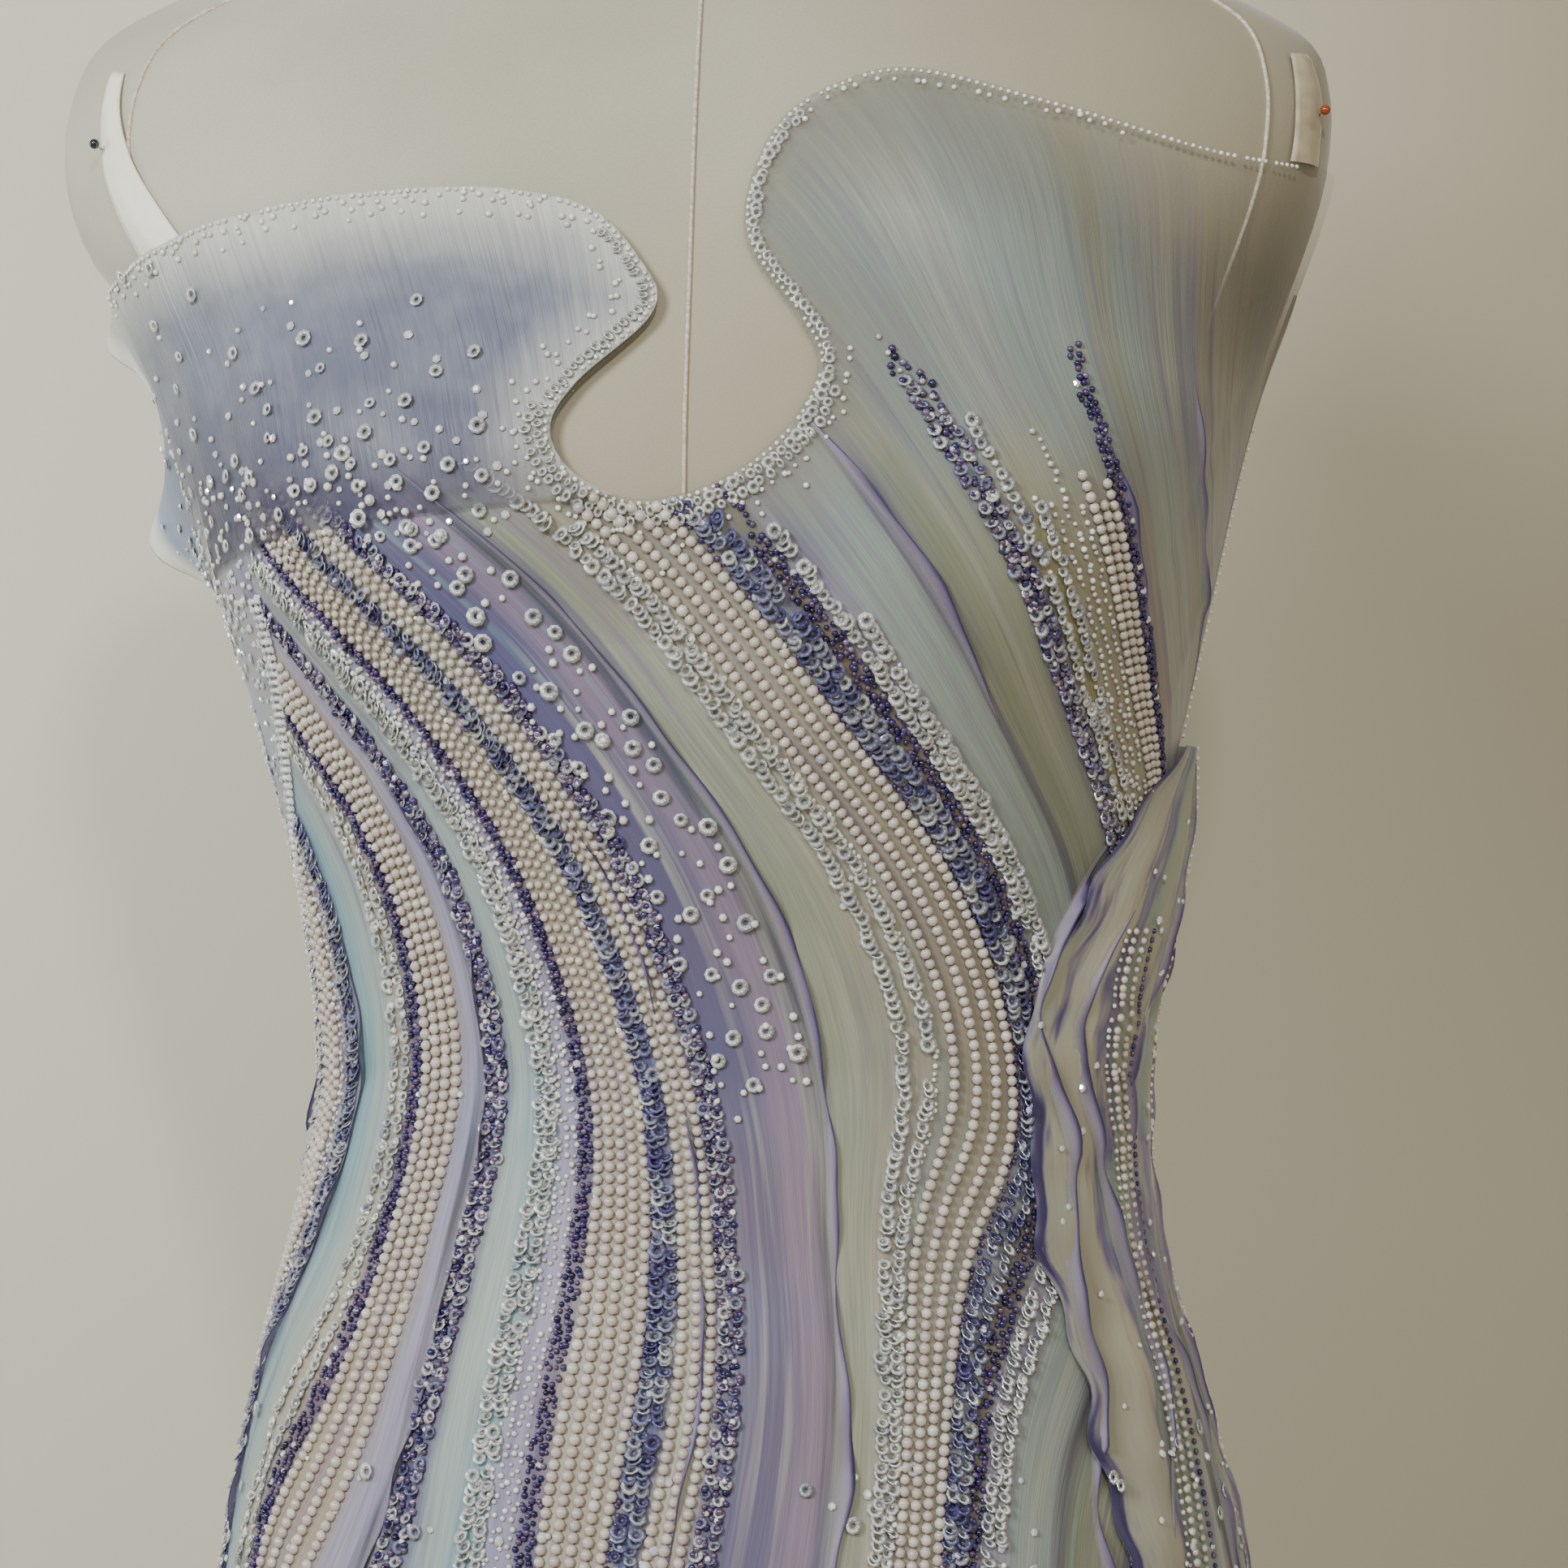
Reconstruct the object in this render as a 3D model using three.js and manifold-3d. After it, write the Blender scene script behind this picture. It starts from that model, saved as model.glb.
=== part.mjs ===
// A painted and beaded wedding gown on an armless dress form with a round stand.
// Millimetres, +Z up, the front faces -Y, the wearer's right side lies towards -X.
// The origin is on the floor, under the middle of the stand.
import * as THREE from "three";
import { mergeVertices } from "three/addons/utils/BufferGeometryUtils.js";
import Module from "manifold-3d";

const wasm = await Module();
wasm.setup();

const CLOTH = 2; // wall of a gown panel: painted organza, lining and boning together
const SHEER = 1.2; // wall of one sheer overlay
const STRAP = 1.2;
const SEAM_GAP = 0.3;
const EASE = 1; // space between the form and the gown
const LIFT = 0.9; // space between a panel and what lies on it

const HEM_Z = 24;
const HIP_Z = 884;
const BUST_Z = 1222;
const FORM_BOTTOM_Z = 760;
const NECK_TOP_Z = 1496;

const BASE_RADIUS = 190;
const BASE_THICKNESS = 12;
const HUB_RADIUS = 19;
const HUB_HEIGHT = 46;
const POLE_RADIUS = 14;
const CAP_HEIGHT = 26;

const degrees = THREE.MathUtils.degToRad;
const lerp = THREE.MathUtils.lerp;
const smooth = THREE.MathUtils.smoothstep;

// Outer sections of the fitted gown, and of the form's shoulders and neck above it:
// the reach to each side, to the front and to the back. square flattens the sides.
const SECTIONS = [
  { z: 24, left: 318, right: 326, front: 298, back: 308, square: 1 },
  { z: 160, left: 286, right: 290, front: 260, back: 272, square: 1 },
  { z: 300, left: 254, right: 258, front: 227, back: 240, square: 1 },
  { z: 440, left: 226, right: 230, front: 198, back: 212, square: 1 },
  { z: 580, left: 202, right: 207, front: 174, back: 187, square: 1 },
  { z: 700, left: 185, right: 191, front: 159, back: 167, square: 1 },
  { z: 800, left: 174, right: 181, front: 150, back: 155, square: 1 },
  { z: 884, left: 164, right: 170, front: 142, back: 146, square: 1 },
  { z: 960, left: 150, right: 153, front: 126, back: 128, square: 1 },
  { z: 1007, left: 138, right: 141, front: 112, back: 113, square: 1 },
  { z: 1055, left: 132, right: 136, front: 104, back: 103, square: 1 },
  { z: 1095, left: 136, right: 140, front: 107, back: 103, square: 1 },
  { z: 1130, left: 143, right: 147, front: 115, back: 106, square: 1 },
  { z: 1168, left: 153, right: 155, front: 126, back: 111, square: 1 },
  { z: 1208, left: 165, right: 164, front: 134, back: 116, square: 1 },
  { z: 1244, left: 173, right: 172, front: 134, back: 119, square: 1.03 },
  { z: 1273, left: 181, right: 180, front: 126, back: 120, square: 1.08 },
  { z: 1300, left: 195, right: 190, front: 115, back: 119, square: 1.14 },
  { z: 1325, left: 207, right: 199, front: 106, back: 116, square: 1.2 },
  { z: 1345, left: 213, right: 204, front: 98, back: 113, square: 1.22 },
  { z: 1370, left: 212, right: 205, front: 85, back: 106, square: 1.2 },
  { z: 1390, left: 201, right: 197, front: 73, back: 98, square: 1.14 },
  { z: 1408, left: 168, right: 166, front: 63, back: 87, square: 1.06 },
  { z: 1426, left: 124, right: 124, front: 58, back: 74, square: 1 },
  { z: 1444, left: 85, right: 85, front: 55, back: 63, square: 1 },
  { z: 1460, left: 66, right: 66, front: 53, back: 58, square: 1 },
  { z: 1476, left: 60, right: 60, front: 52, back: 56, square: 1 },
  { z: 1496, left: 59, right: 59, front: 52, back: 55, square: 1 },
];

// Angles of the four long seams, in degrees from the centre front, + towards +X.
const SEAMS = [
  { z: 24, leftBack: -128, leftFront: -90, rightFront: 90, rightBack: 128 },
  { z: 884, leftBack: -125, leftFront: -89, rightFront: 89, rightBack: 125 },
  { z: 1007, leftBack: -120, leftFront: -87, rightFront: 87, rightBack: 120 },
  { z: 1055, leftBack: -117, leftFront: -83, rightFront: 86, rightBack: 117 },
  { z: 1100, leftBack: -118, leftFront: -77, rightFront: 86, rightBack: 118 },
  { z: 1150, leftBack: -121, leftFront: -64, rightFront: 86, rightBack: 121 },
  { z: 1200, leftBack: -124, leftFront: -56, rightFront: 85, rightBack: 124 },
  { z: 1250, leftBack: -127, leftFront: -62, rightFront: 84, rightBack: 127 },
  { z: 1290, leftBack: -129, leftFront: -76, rightFront: 83, rightBack: 129 },
  { z: 1392, leftBack: -130, leftFront: -84, rightFront: 84, rightBack: 130 },
];

// The neckline seen from the front: a low rounded lobe, a keyhole with a narrow throat,
// and a tall lobe that slopes away to the other shoulder.
const NECKLINE = [
  { x: -201, z: 1303 },
  { x: -146, z: 1319 },
  { x: -78, z: 1325 },
  { x: -34, z: 1319 },
  { x: -14, z: 1300 },
  { x: -10, z: 1284 },
  { x: -32, z: 1262 },
  { x: -39, z: 1248 },
  { x: -31, z: 1235 },
  { x: -12, z: 1228 },
  { x: 11, z: 1234 },
  { x: 30, z: 1249 },
  { x: 39, z: 1268 },
  { x: 33, z: 1283 },
  { x: 18, z: 1305 },
  { x: 17, z: 1324 },
  { x: 27, z: 1347 },
  { x: 46, z: 1360 },
  { x: 68, z: 1364 },
  { x: 108, z: 1354 },
  { x: 160, z: 1341 },
  { x: 204, z: 1341 },
];

// Top edge of the side and back panels by angle from the centre front.
const ARMHOLE = [
  { angle: -180, z: 1248 },
  { angle: -150, z: 1253 },
  { angle: -120, z: 1262 },
  { angle: -96, z: 1270 },
  { angle: -80, z: 1284 },
  { angle: 80, z: 1306 },
  { angle: 96, z: 1272 },
  { angle: 120, z: 1262 },
  { angle: 150, z: 1253 },
  { angle: 180, z: 1248 },
];

// A smooth curve through one column of a table, read at a value of its key column.
function read(table, column, at, key = "z") {
  let k = 0;
  while (k < table.length - 2 && table[k + 1][key] < at) k += 1;
  const slope = (i) => {
    const before = table[Math.max(i - 1, 0)];
    const after = table[Math.min(i + 1, table.length - 1)];
    return (after[column] - before[column]) / (after[key] - before[key]);
  };
  const span = table[k + 1][key] - table[k][key];
  const t = THREE.MathUtils.clamp((at - table[k][key]) / span, 0, 1);
  const here = table[k][column];
  const next = table[k + 1][column];
  const rise = next - here;
  const bend = t * (1 - t);
  return here + rise * t + bend * ((1 - t) * (slope(k) * span - rise) + t * (rise - slope(k + 1) * span));
}

const FOLD_TOP_Z = 720;
const FOLD_DEPTH = 15;
const FOLD_OPENING = 1.2; // over 1, the folds stay shallow for longer below their top
const MAIN_FOLDS = { count: 9, turn: 0.7, share: 1 };
const BETWEEN_FOLDS = { count: 5, turn: 2.1, share: 0.45 };

// Soft folds of the skirt, which open towards the hem.
function fold(angle, z) {
  const opened = smooth(FOLD_TOP_Z - z, 0, FOLD_TOP_Z - HEM_Z);
  const wave = ({ count, turn, share }) => share * Math.cos(count * angle + turn);
  return FOLD_DEPTH * Math.pow(opened, FOLD_OPENING) * (wave(MAIN_FOLDS) + wave(BETWEEN_FOLDS));
}

const BUST_ANGLE = degrees(35);
const BUST_WIDTH = degrees(21);
const BUST_HEIGHT = 46;
const BUST_RISE = 11;

// Rounding of the bust on both sides of the centre front.
function bust(angle, z) {
  const across = (Math.abs(angle) - BUST_ANGLE) / BUST_WIDTH;
  const up = (z - BUST_Z) / BUST_HEIGHT;
  return BUST_RISE * Math.exp(-across * across - up * up);
}

const flatten = (value, square) => Math.sign(value) * Math.pow(Math.abs(value), 1 / square);

// A point of the gown's outer face.
function gown(angle, z) {
  const square = read(SECTIONS, "square", z);
  const across = flatten(Math.sin(angle), square);
  const along = flatten(Math.cos(angle), square);
  const side = read(SECTIONS, across < 0 ? "left" : "right", z);
  const depth = read(SECTIONS, along > 0 ? "front" : "back", z);
  const rise = fold(angle, z) + bust(angle, z);
  return new THREE.Vector3((side + rise) * across, -(depth + rise) * along, z);
}

const STEP_ANGLE = degrees(1.5);
const STEP_Z = 4;

// The same point moved along the face's own normal, so that a wall keeps its thickness.
function offset(angle, z, distance) {
  const across = gown(angle + STEP_ANGLE, z).sub(gown(angle - STEP_ANGLE, z));
  const up = gown(angle, z + STEP_Z).sub(gown(angle, z - STEP_Z));
  const normal = across.cross(up).normalize();
  return gown(angle, z).addScaledVector(normal, distance);
}

// A closed wall over a grid: place(row, column, face) gives a point of the inner face, 0,
// or the outer face, 1.
function wall(rows, columns, place) {
  const positions = [];
  const index = [];
  const width = columns + 1;
  const face = (rows + 1) * width;
  for (let side = 0; side < 2; side += 1)
    for (let row = 0; row <= rows; row += 1)
      for (let column = 0; column <= columns; column += 1)
        positions.push(...place(row, column, side).toArray());
  const quad = (a, b, c, d) => index.push(a, b, c, a, c, d);
  for (let row = 0; row < rows; row += 1)
    for (let column = 0; column < columns; column += 1) {
      const a = row * width + column;
      quad(a, a + width, a + width + 1, a + 1);
      quad(face + a, face + a + 1, face + a + width + 1, face + a + width);
    }
  for (let row = 0; row < rows; row += 1) {
    const a = row * width;
    const b = a + columns;
    quad(a, face + a, face + a + width, a + width);
    quad(b, b + width, face + b + width, face + b);
  }
  for (let column = 0; column < columns; column += 1) {
    const a = column;
    const b = rows * width + column;
    quad(a, a + 1, face + a + 1, face + a);
    quad(b, face + b, face + b + 1, b + 1);
  }
  const geometry = new THREE.BufferGeometry();
  geometry.setAttribute("position", new THREE.Float32BufferAttribute(positions, 3));
  geometry.setIndex(index);
  return geometry;
}

function toSolid(geometry) {
  const bare = geometry.clone();
  bare.deleteAttribute("normal");
  bare.deleteAttribute("uv");
  const merged = mergeVertices(bare, 1e-4);
  const vertProperties = merged.attributes.position.array;
  const triVerts = new Uint32Array(merged.index.array);
  return new wasm.Manifold(new wasm.Mesh({ numProp: 3, vertProperties, triVerts }));
}

function toGeometry(solid) {
  const { vertProperties, triVerts } = solid.getMesh();
  const geometry = new THREE.BufferGeometry();
  geometry.setAttribute("position", new THREE.BufferAttribute(vertProperties, 3));
  geometry.setIndex(new THREE.BufferAttribute(triVerts, 1));
  return geometry;
}

const NECKLINE_STEPS = 76;
const CUT_REACH_X = 280;
const CUT_TOP_Z = 1440;
const CUT_BACK_Y = 40;
const CUT_DEPTH = 300;

// All that lies above the neckline in front of the form.
function aboveNeckline() {
  const curve = new THREE.SplineCurve(NECKLINE.map(({ x, z }) => new THREE.Vector2(x, z)));
  const points = curve.getPoints(NECKLINE_STEPS);
  const first = points[0];
  const last = points[points.length - 1];
  const shape = new THREE.Shape([
    new THREE.Vector2(-CUT_REACH_X, first.y),
    ...points,
    new THREE.Vector2(CUT_REACH_X, last.y),
    new THREE.Vector2(CUT_REACH_X, CUT_TOP_Z),
    new THREE.Vector2(-CUT_REACH_X, CUT_TOP_Z),
  ]);
  const prism = new THREE.ExtrudeGeometry(shape, { depth: CUT_DEPTH, bevelEnabled: false });
  prism.rotateX(Math.PI / 2);
  prism.translate(0, CUT_BACK_Y, 0);
  return toSolid(prism);
}

const SKIRT_ROWS = 13;
const BODICE_ROWS = 17;
const ARMHOLE_ROWS = 15; // bodice rows of the side and back panels, which end lower
const PANEL_TOP_Z = 1380;

// Height of a row: even steps up the skirt to the hip, then even steps up the bodice.
function rowHeight(row) {
  if (row <= SKIRT_ROWS) return lerp(HEM_Z, HIP_Z, row / SKIRT_ROWS);
  return lerp(HIP_Z, PANEL_TOP_Z, (row - SKIRT_ROWS) / BODICE_ROWS);
}

const CENTRE_BACK = degrees(180);
const seam = (name, z) => degrees(read(SEAMS, name, z));

// A gown panel between two seams, each given by a function of the height.
function panel(from, to, columns, bodiceRows) {
  return wall(SKIRT_ROWS + bodiceRows, columns, (row, column, side) => {
    const z = rowHeight(row);
    const inset = SEAM_GAP / 2 / Math.min(read(SECTIONS, "front", z), read(SECTIONS, "back", z));
    const angle = lerp(from(z) + inset, to(z) - inset, column / columns);
    return offset(angle, z, side ? 0 : -CLOTH);
  });
}

const ARMHOLE_STEPS = 16;
const ARMHOLE_FRONT = 54;
const ARMHOLE_BACK = 184; // just past the centre back
const CUT_SPREAD = { inner: 0.6, outer: 1.4 };

// All that lies above the top edge of the side and back panels on one side of the body.
function aboveArmhole(from, to) {
  return toSolid(
    wall(1, ARMHOLE_STEPS, (row, column, side) => {
      const angle = lerp(from, to, column / ARMHOLE_STEPS);
      const spread = side ? CUT_SPREAD.outer : CUT_SPREAD.inner;
      const point = gown(degrees(angle), BUST_Z).multiplyScalar(spread);
      point.z = row ? CUT_TOP_Z : read(ARMHOLE, "z", angle, "angle");
      return point;
    }),
  );
}

const neckCut = aboveNeckline();
const armholeCuts = {
  left: aboveArmhole(-ARMHOLE_BACK, -ARMHOLE_FRONT),
  right: aboveArmhole(ARMHOLE_FRONT, ARMHOLE_BACK),
};
const trimmed = (geometry, cut = neckCut) => toGeometry(toSolid(geometry).subtract(cut));

// Left lobe's overlay: its side edge reaches round under the arm and stands out in a frill.
const FRILL_ANGLE = degrees(-98);
const LOBE_ANGLE = degrees(-4);
const LOBE_ROWS = 13;
const LOBE_COLUMNS = 22;
const LOBE_PUFF = 5;
const LOBE_TOP_Z = 1340;
const FRILL_TOP_Z = 1303;
const FRILL_BOTTOM_Z = 1206;
const LOBE_BOTTOM_Z = 1230;
const FRILL = [
  { up: 0, out: 1 },
  { up: 0.07, out: 6 },
  { up: 0.15, out: 17 },
  { up: 0.23, out: 26 },
  { up: 0.29, out: 28.5 },
  { up: 0.38, out: 24 },
  { up: 0.47, out: 15 },
  { up: 0.57, out: 8 },
  { up: 0.67, out: 5.5 },
  { up: 0.82, out: 10 },
  { up: 0.97, out: 17.5 },
  { up: 1, out: 19 },
];
const FRILL_SHARE = 0.2; // share of the overlay's width over which the frill dies away
const FRILL_FADE = 1.5;
const SIDE_SHARE = 0.25; // share of the width over which the top edge drops to the arm
const GATHERS = 7;
const GATHER_DEPTH = 1.1;

function lobeOverlay() {
  const lift = (share, up) => {
    const middle = Math.sin(Math.PI * share) * Math.sin(Math.PI * up);
    const edge = Math.pow(Math.max(0, 1 - share / FRILL_SHARE), FRILL_FADE);
    const gather = GATHER_DEPTH * middle * Math.cos(2 * Math.PI * GATHERS * share);
    return LIFT + LOBE_PUFF * middle + gather + edge * read(FRILL, "out", up, "up");
  };
  return wall(LOBE_ROWS, LOBE_COLUMNS, (row, column, side) => {
    const share = column / LOBE_COLUMNS;
    const up = row / LOBE_ROWS;
    const angle = lerp(FRILL_ANGLE, LOBE_ANGLE, share);
    const bottom = lerp(FRILL_BOTTOM_Z, LOBE_BOTTOM_Z, share);
    const top = lerp(FRILL_TOP_Z, LOBE_TOP_Z, smooth(share, 0, SIDE_SHARE));
    return offset(angle, lerp(bottom, top, up), lift(share, up) + side * SHEER);
  });
}

// Side drape: a sheer fall from the left-hand side of the wearer's bodice over the hip,
// with a wavy front edge that opens out from the side.
const DRAPE = [
  { up: 0, front: 51, back: 97, out: 1 },
  { up: 0.2, front: 50, back: 99, out: 4 },
  { up: 0.4, front: 51, back: 101, out: 3 },
  { up: 0.55, front: 48, back: 102, out: 1 },
  { up: 0.7, front: 47, back: 103, out: 5 },
  { up: 0.82, front: 50, back: 103, out: 9 },
  { up: 0.92, front: 62, back: 102, out: 8 },
  { up: 1, front: 79, back: 99, out: 3 },
];
const DRAPE_BOTTOM_Z = 780;
const DRAPE_TOP_Z = 1158;
const DRAPE_ROWS = 22;
const DRAPE_COLUMNS = 8;

function sideDrape() {
  return wall(DRAPE_ROWS, DRAPE_COLUMNS, (row, column, side) => {
    const up = row / DRAPE_ROWS;
    const share = column / DRAPE_COLUMNS;
    const front = read(DRAPE, "front", up, "up");
    const back = read(DRAPE, "back", up, "up");
    const lift = LIFT + read(DRAPE, "out", up, "up") * Math.sin(Math.PI * share);
    const angle = degrees(lerp(front, back, share));
    return offset(angle, lerp(DRAPE_BOTTOM_Z, DRAPE_TOP_Z, up), lift + side * SHEER);
  });
}

const STRAP_ROWS = 7;
const STRAP_COLUMNS = 4;
const FOOT_GAP = 0.4;

// A strap end, which rises from the neckline and lies on the form. Widths are in degrees.
function strap({ foot, tip }) {
  const rest = LIFT - CLOTH - EASE;
  const whole = wall(STRAP_ROWS, STRAP_COLUMNS, (row, column, side) => {
    const up = row / STRAP_ROWS;
    const half = lerp(foot.width, tip.width, up) / 2;
    const middle = lerp(foot.angle, tip.angle, up);
    const angle = degrees(middle + lerp(-half, half, column / STRAP_COLUMNS));
    return offset(angle, lerp(foot.z, tip.z, up), rest + side * STRAP);
  });
  return toGeometry(toSolid(whole).intersect(neckCut.translate(0, 0, FOOT_GAP)));
}

const PLACKET_BOTTOM_Z = 905;
const PLACKET_TOP_Z = 1246;
const PLACKET_WIDTH = 20;
const PLACKET_ROWS = 12;

// Lapped placket over the centre back opening.
function placket() {
  return wall(PLACKET_ROWS, 2, (row, column, side) => {
    const z = lerp(PLACKET_BOTTOM_Z, PLACKET_TOP_Z, row / PLACKET_ROWS);
    const half = PLACKET_WIDTH / 2 / read(SECTIONS, "back", z);
    return offset(CENTRE_BACK + (column - 1) * half, z, LIFT + side * STRAP);
  });
}

const FORM_COLUMNS = 44;
const HIP_TUCK = 10; // how far the form draws in under the hip, away from the skirt
const SHOULDER_HEIGHTS = [1394, 1404, 1415, 1428, 1444, 1460, 1476, NECK_TOP_Z];
const STEEPEST = 0.4; // least share of a normal that counts as level, where the form closes in

// Heights of the form's sections: the gown's own rows up to its top, then the shoulders.
function formHeights() {
  const heights = [FORM_BOTTOM_Z];
  for (let row = 0; row <= SKIRT_ROWS + BODICE_ROWS; row += 1)
    if (rowHeight(row) > FORM_BOTTOM_Z + CLOTH) heights.push(rowHeight(row));
  return heights.concat(SHOULDER_HEIGHTS);
}

// A point inside the gown's outer face by a distance, kept at its own height.
function inside(angle, z, distance) {
  const face = gown(angle, z);
  const inward = offset(angle, z, -1).sub(face);
  inward.z = 0;
  const level = Math.max(inward.length(), STEEPEST);
  return face.addScaledVector(inward.normalize(), distance / level);
}

// The form's torso: one closed body with an even space to the gown.
function torso() {
  const positions = [];
  const index = [];
  const heights = formHeights();
  for (const z of heights) {
    const tuck = HIP_TUCK * smooth(HIP_Z - z, 0, HIP_Z - FORM_BOTTOM_Z);
    for (let column = 0; column < FORM_COLUMNS; column += 1) {
      const turn = (column / FORM_COLUMNS) * 2 * Math.PI;
      const angle = turn > Math.PI ? turn - 2 * Math.PI : turn;
      positions.push(...inside(angle, z, CLOTH + EASE + tuck).toArray());
    }
  }
  const top = heights.length - 1;
  for (let row = 0; row < top; row += 1)
    for (let column = 0; column < FORM_COLUMNS; column += 1) {
      const a = row * FORM_COLUMNS + column;
      const b = row * FORM_COLUMNS + ((column + 1) % FORM_COLUMNS);
      index.push(a, b, b + FORM_COLUMNS, a, b + FORM_COLUMNS, a + FORM_COLUMNS);
    }
  const bottomCentre = positions.length / 3;
  positions.push(0, 0, FORM_BOTTOM_Z, 0, 0, NECK_TOP_Z);
  for (let column = 0; column < FORM_COLUMNS; column += 1) {
    const next = (column + 1) % FORM_COLUMNS;
    index.push(bottomCentre, next, column);
    index.push(bottomCentre + 1, top * FORM_COLUMNS + column, top * FORM_COLUMNS + next);
  }
  const geometry = new THREE.BufferGeometry();
  geometry.setAttribute("position", new THREE.Float32BufferAttribute(positions, 3));
  geometry.setIndex(index);
  return geometry;
}

const TURNED_SIDES = 32;

// A turned piece about the Z axis, from a profile of [radius, height] pairs.
function turned(profile) {
  const points = profile.map(([radius, z]) => new THREE.Vector2(radius, z));
  return new THREE.LatheGeometry(points, TURNED_SIDES).rotateX(Math.PI / 2);
}

function neckCap() {
  const bottom = NECK_TOP_Z + SEAM_GAP;
  const plate = 8;
  return turned([
    [0, bottom],
    [50, bottom],
    [52, bottom + 3],
    [48, bottom + plate],
    [14, bottom + plate + 3],
    [10, bottom + plate + 7],
    [15, bottom + 20],
    [11, bottom + CAP_HEIGHT],
    [0, bottom + CAP_HEIGHT + 2],
  ]);
}

function pole() {
  const bottom = HUB_HEIGHT + SEAM_GAP;
  const top = FORM_BOTTOM_Z - SEAM_GAP;
  return turned([
    [0, bottom],
    [POLE_RADIUS, bottom],
    [POLE_RADIUS, top],
    [0, top],
  ]);
}

function base() {
  const edge = 3;
  return turned([
    [0, 0],
    [BASE_RADIUS - edge, 0],
    [BASE_RADIUS, edge],
    [BASE_RADIUS, BASE_THICKNESS - edge],
    [BASE_RADIUS - edge, BASE_THICKNESS],
    [HUB_RADIUS + 16, BASE_THICKNESS + 2],
    [HUB_RADIUS, BASE_THICKNESS + 8],
    [HUB_RADIUS, HUB_HEIGHT],
    [0, HUB_HEIGHT],
  ]);
}

const finish = (color, roughness, metalness = 0) =>
  new THREE.MeshStandardMaterial({ color, roughness, metalness });
const painted = finish("#c6cbc8", 0.5);
const sheer = finish("#d8d9e2", 0.45);
const cream = finish("#e2dcc6", 0.6);
const linen = finish("#bdb29e", 0.85);
const wood = finish("#8a6746", 0.5);
const steel = finish("#b5b7ba", 0.3, 1);
const castIron = finish("#2c2b2a", 0.5, 0.6);

const dress = new THREE.Group();

function add(name, geometry, material) {
  const mesh = new THREE.Mesh(geometry, material);
  mesh.name = name;
  dress.add(mesh);
}

const along = (name) => (z) => seam(name, z);
const backEdge = (sign) => () => sign * CENTRE_BACK;

function addPanel(name, from, to, columns, cut) {
  const bodiceRows = cut === neckCut ? BODICE_ROWS : ARMHOLE_ROWS;
  add(name, trimmed(panel(from, to, columns, bodiceRows), cut), painted);
}

addPanel("front_panel", along("leftFront"), along("rightFront"), 30, neckCut);
addPanel("side_panel_left", along("leftBack"), along("leftFront"), 7, armholeCuts.left);
addPanel("side_panel_right", along("rightFront"), along("rightBack"), 6, armholeCuts.right);
addPanel("back_panel_left", backEdge(-1), along("leftBack"), 9, armholeCuts.left);
addPanel("back_panel_right", along("rightBack"), backEdge(1), 9, armholeCuts.right);
add("back_placket", placket(), painted);
add("lobe_overlay", trimmed(lobeOverlay()), sheer);
add("side_drape", sideDrape(), sheer);

const LEFT_STRAP = {
  foot: { z: 1304, angle: -55, width: 13 },
  tip: { z: 1376, angle: -63, width: 3 },
};
const RIGHT_STRAP = {
  foot: { z: 1330, angle: 69, width: 11 },
  tip: { z: 1378, angle: 68, width: 7 },
};
add("strap_left", strap(LEFT_STRAP), cream);
add("strap_right", strap(RIGHT_STRAP), cream);

add("form_torso", torso(), linen);
add("form_neck_cap", neckCap(), wood);
add("form_pole", pole(), steel);
add("form_base", base(), castIron);

export default dress;
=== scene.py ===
"""Looks of a painted, beaded wedding gown on an armless dress form.

Tables and sizes are in millimetres and degrees. MM turns them into Blender's metres.
Angles run round the body from the centre front, + towards +X.
"""

import math

import bmesh
import bpy
import numpy as np
from mathutils import Matrix, Vector


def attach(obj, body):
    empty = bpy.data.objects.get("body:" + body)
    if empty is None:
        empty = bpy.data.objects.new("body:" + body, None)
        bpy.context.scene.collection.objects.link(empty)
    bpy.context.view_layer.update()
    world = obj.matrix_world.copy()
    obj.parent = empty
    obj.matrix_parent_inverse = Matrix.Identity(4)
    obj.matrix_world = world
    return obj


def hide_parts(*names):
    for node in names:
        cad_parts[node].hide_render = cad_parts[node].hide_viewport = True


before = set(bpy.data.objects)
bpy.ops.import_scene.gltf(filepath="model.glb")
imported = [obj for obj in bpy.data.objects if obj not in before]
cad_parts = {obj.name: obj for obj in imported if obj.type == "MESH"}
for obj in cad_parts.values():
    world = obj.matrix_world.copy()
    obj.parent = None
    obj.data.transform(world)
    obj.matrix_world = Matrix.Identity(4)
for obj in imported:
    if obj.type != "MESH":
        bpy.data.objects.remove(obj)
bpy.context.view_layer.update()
MM = 0.001
draw = np.random.default_rng(11)


# Tables


def table(columns, rows):
    """Rows of numbers as one array for each named column."""
    return {name: np.array([row[i] for row in rows], float) for i, name in enumerate(columns)}


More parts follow.
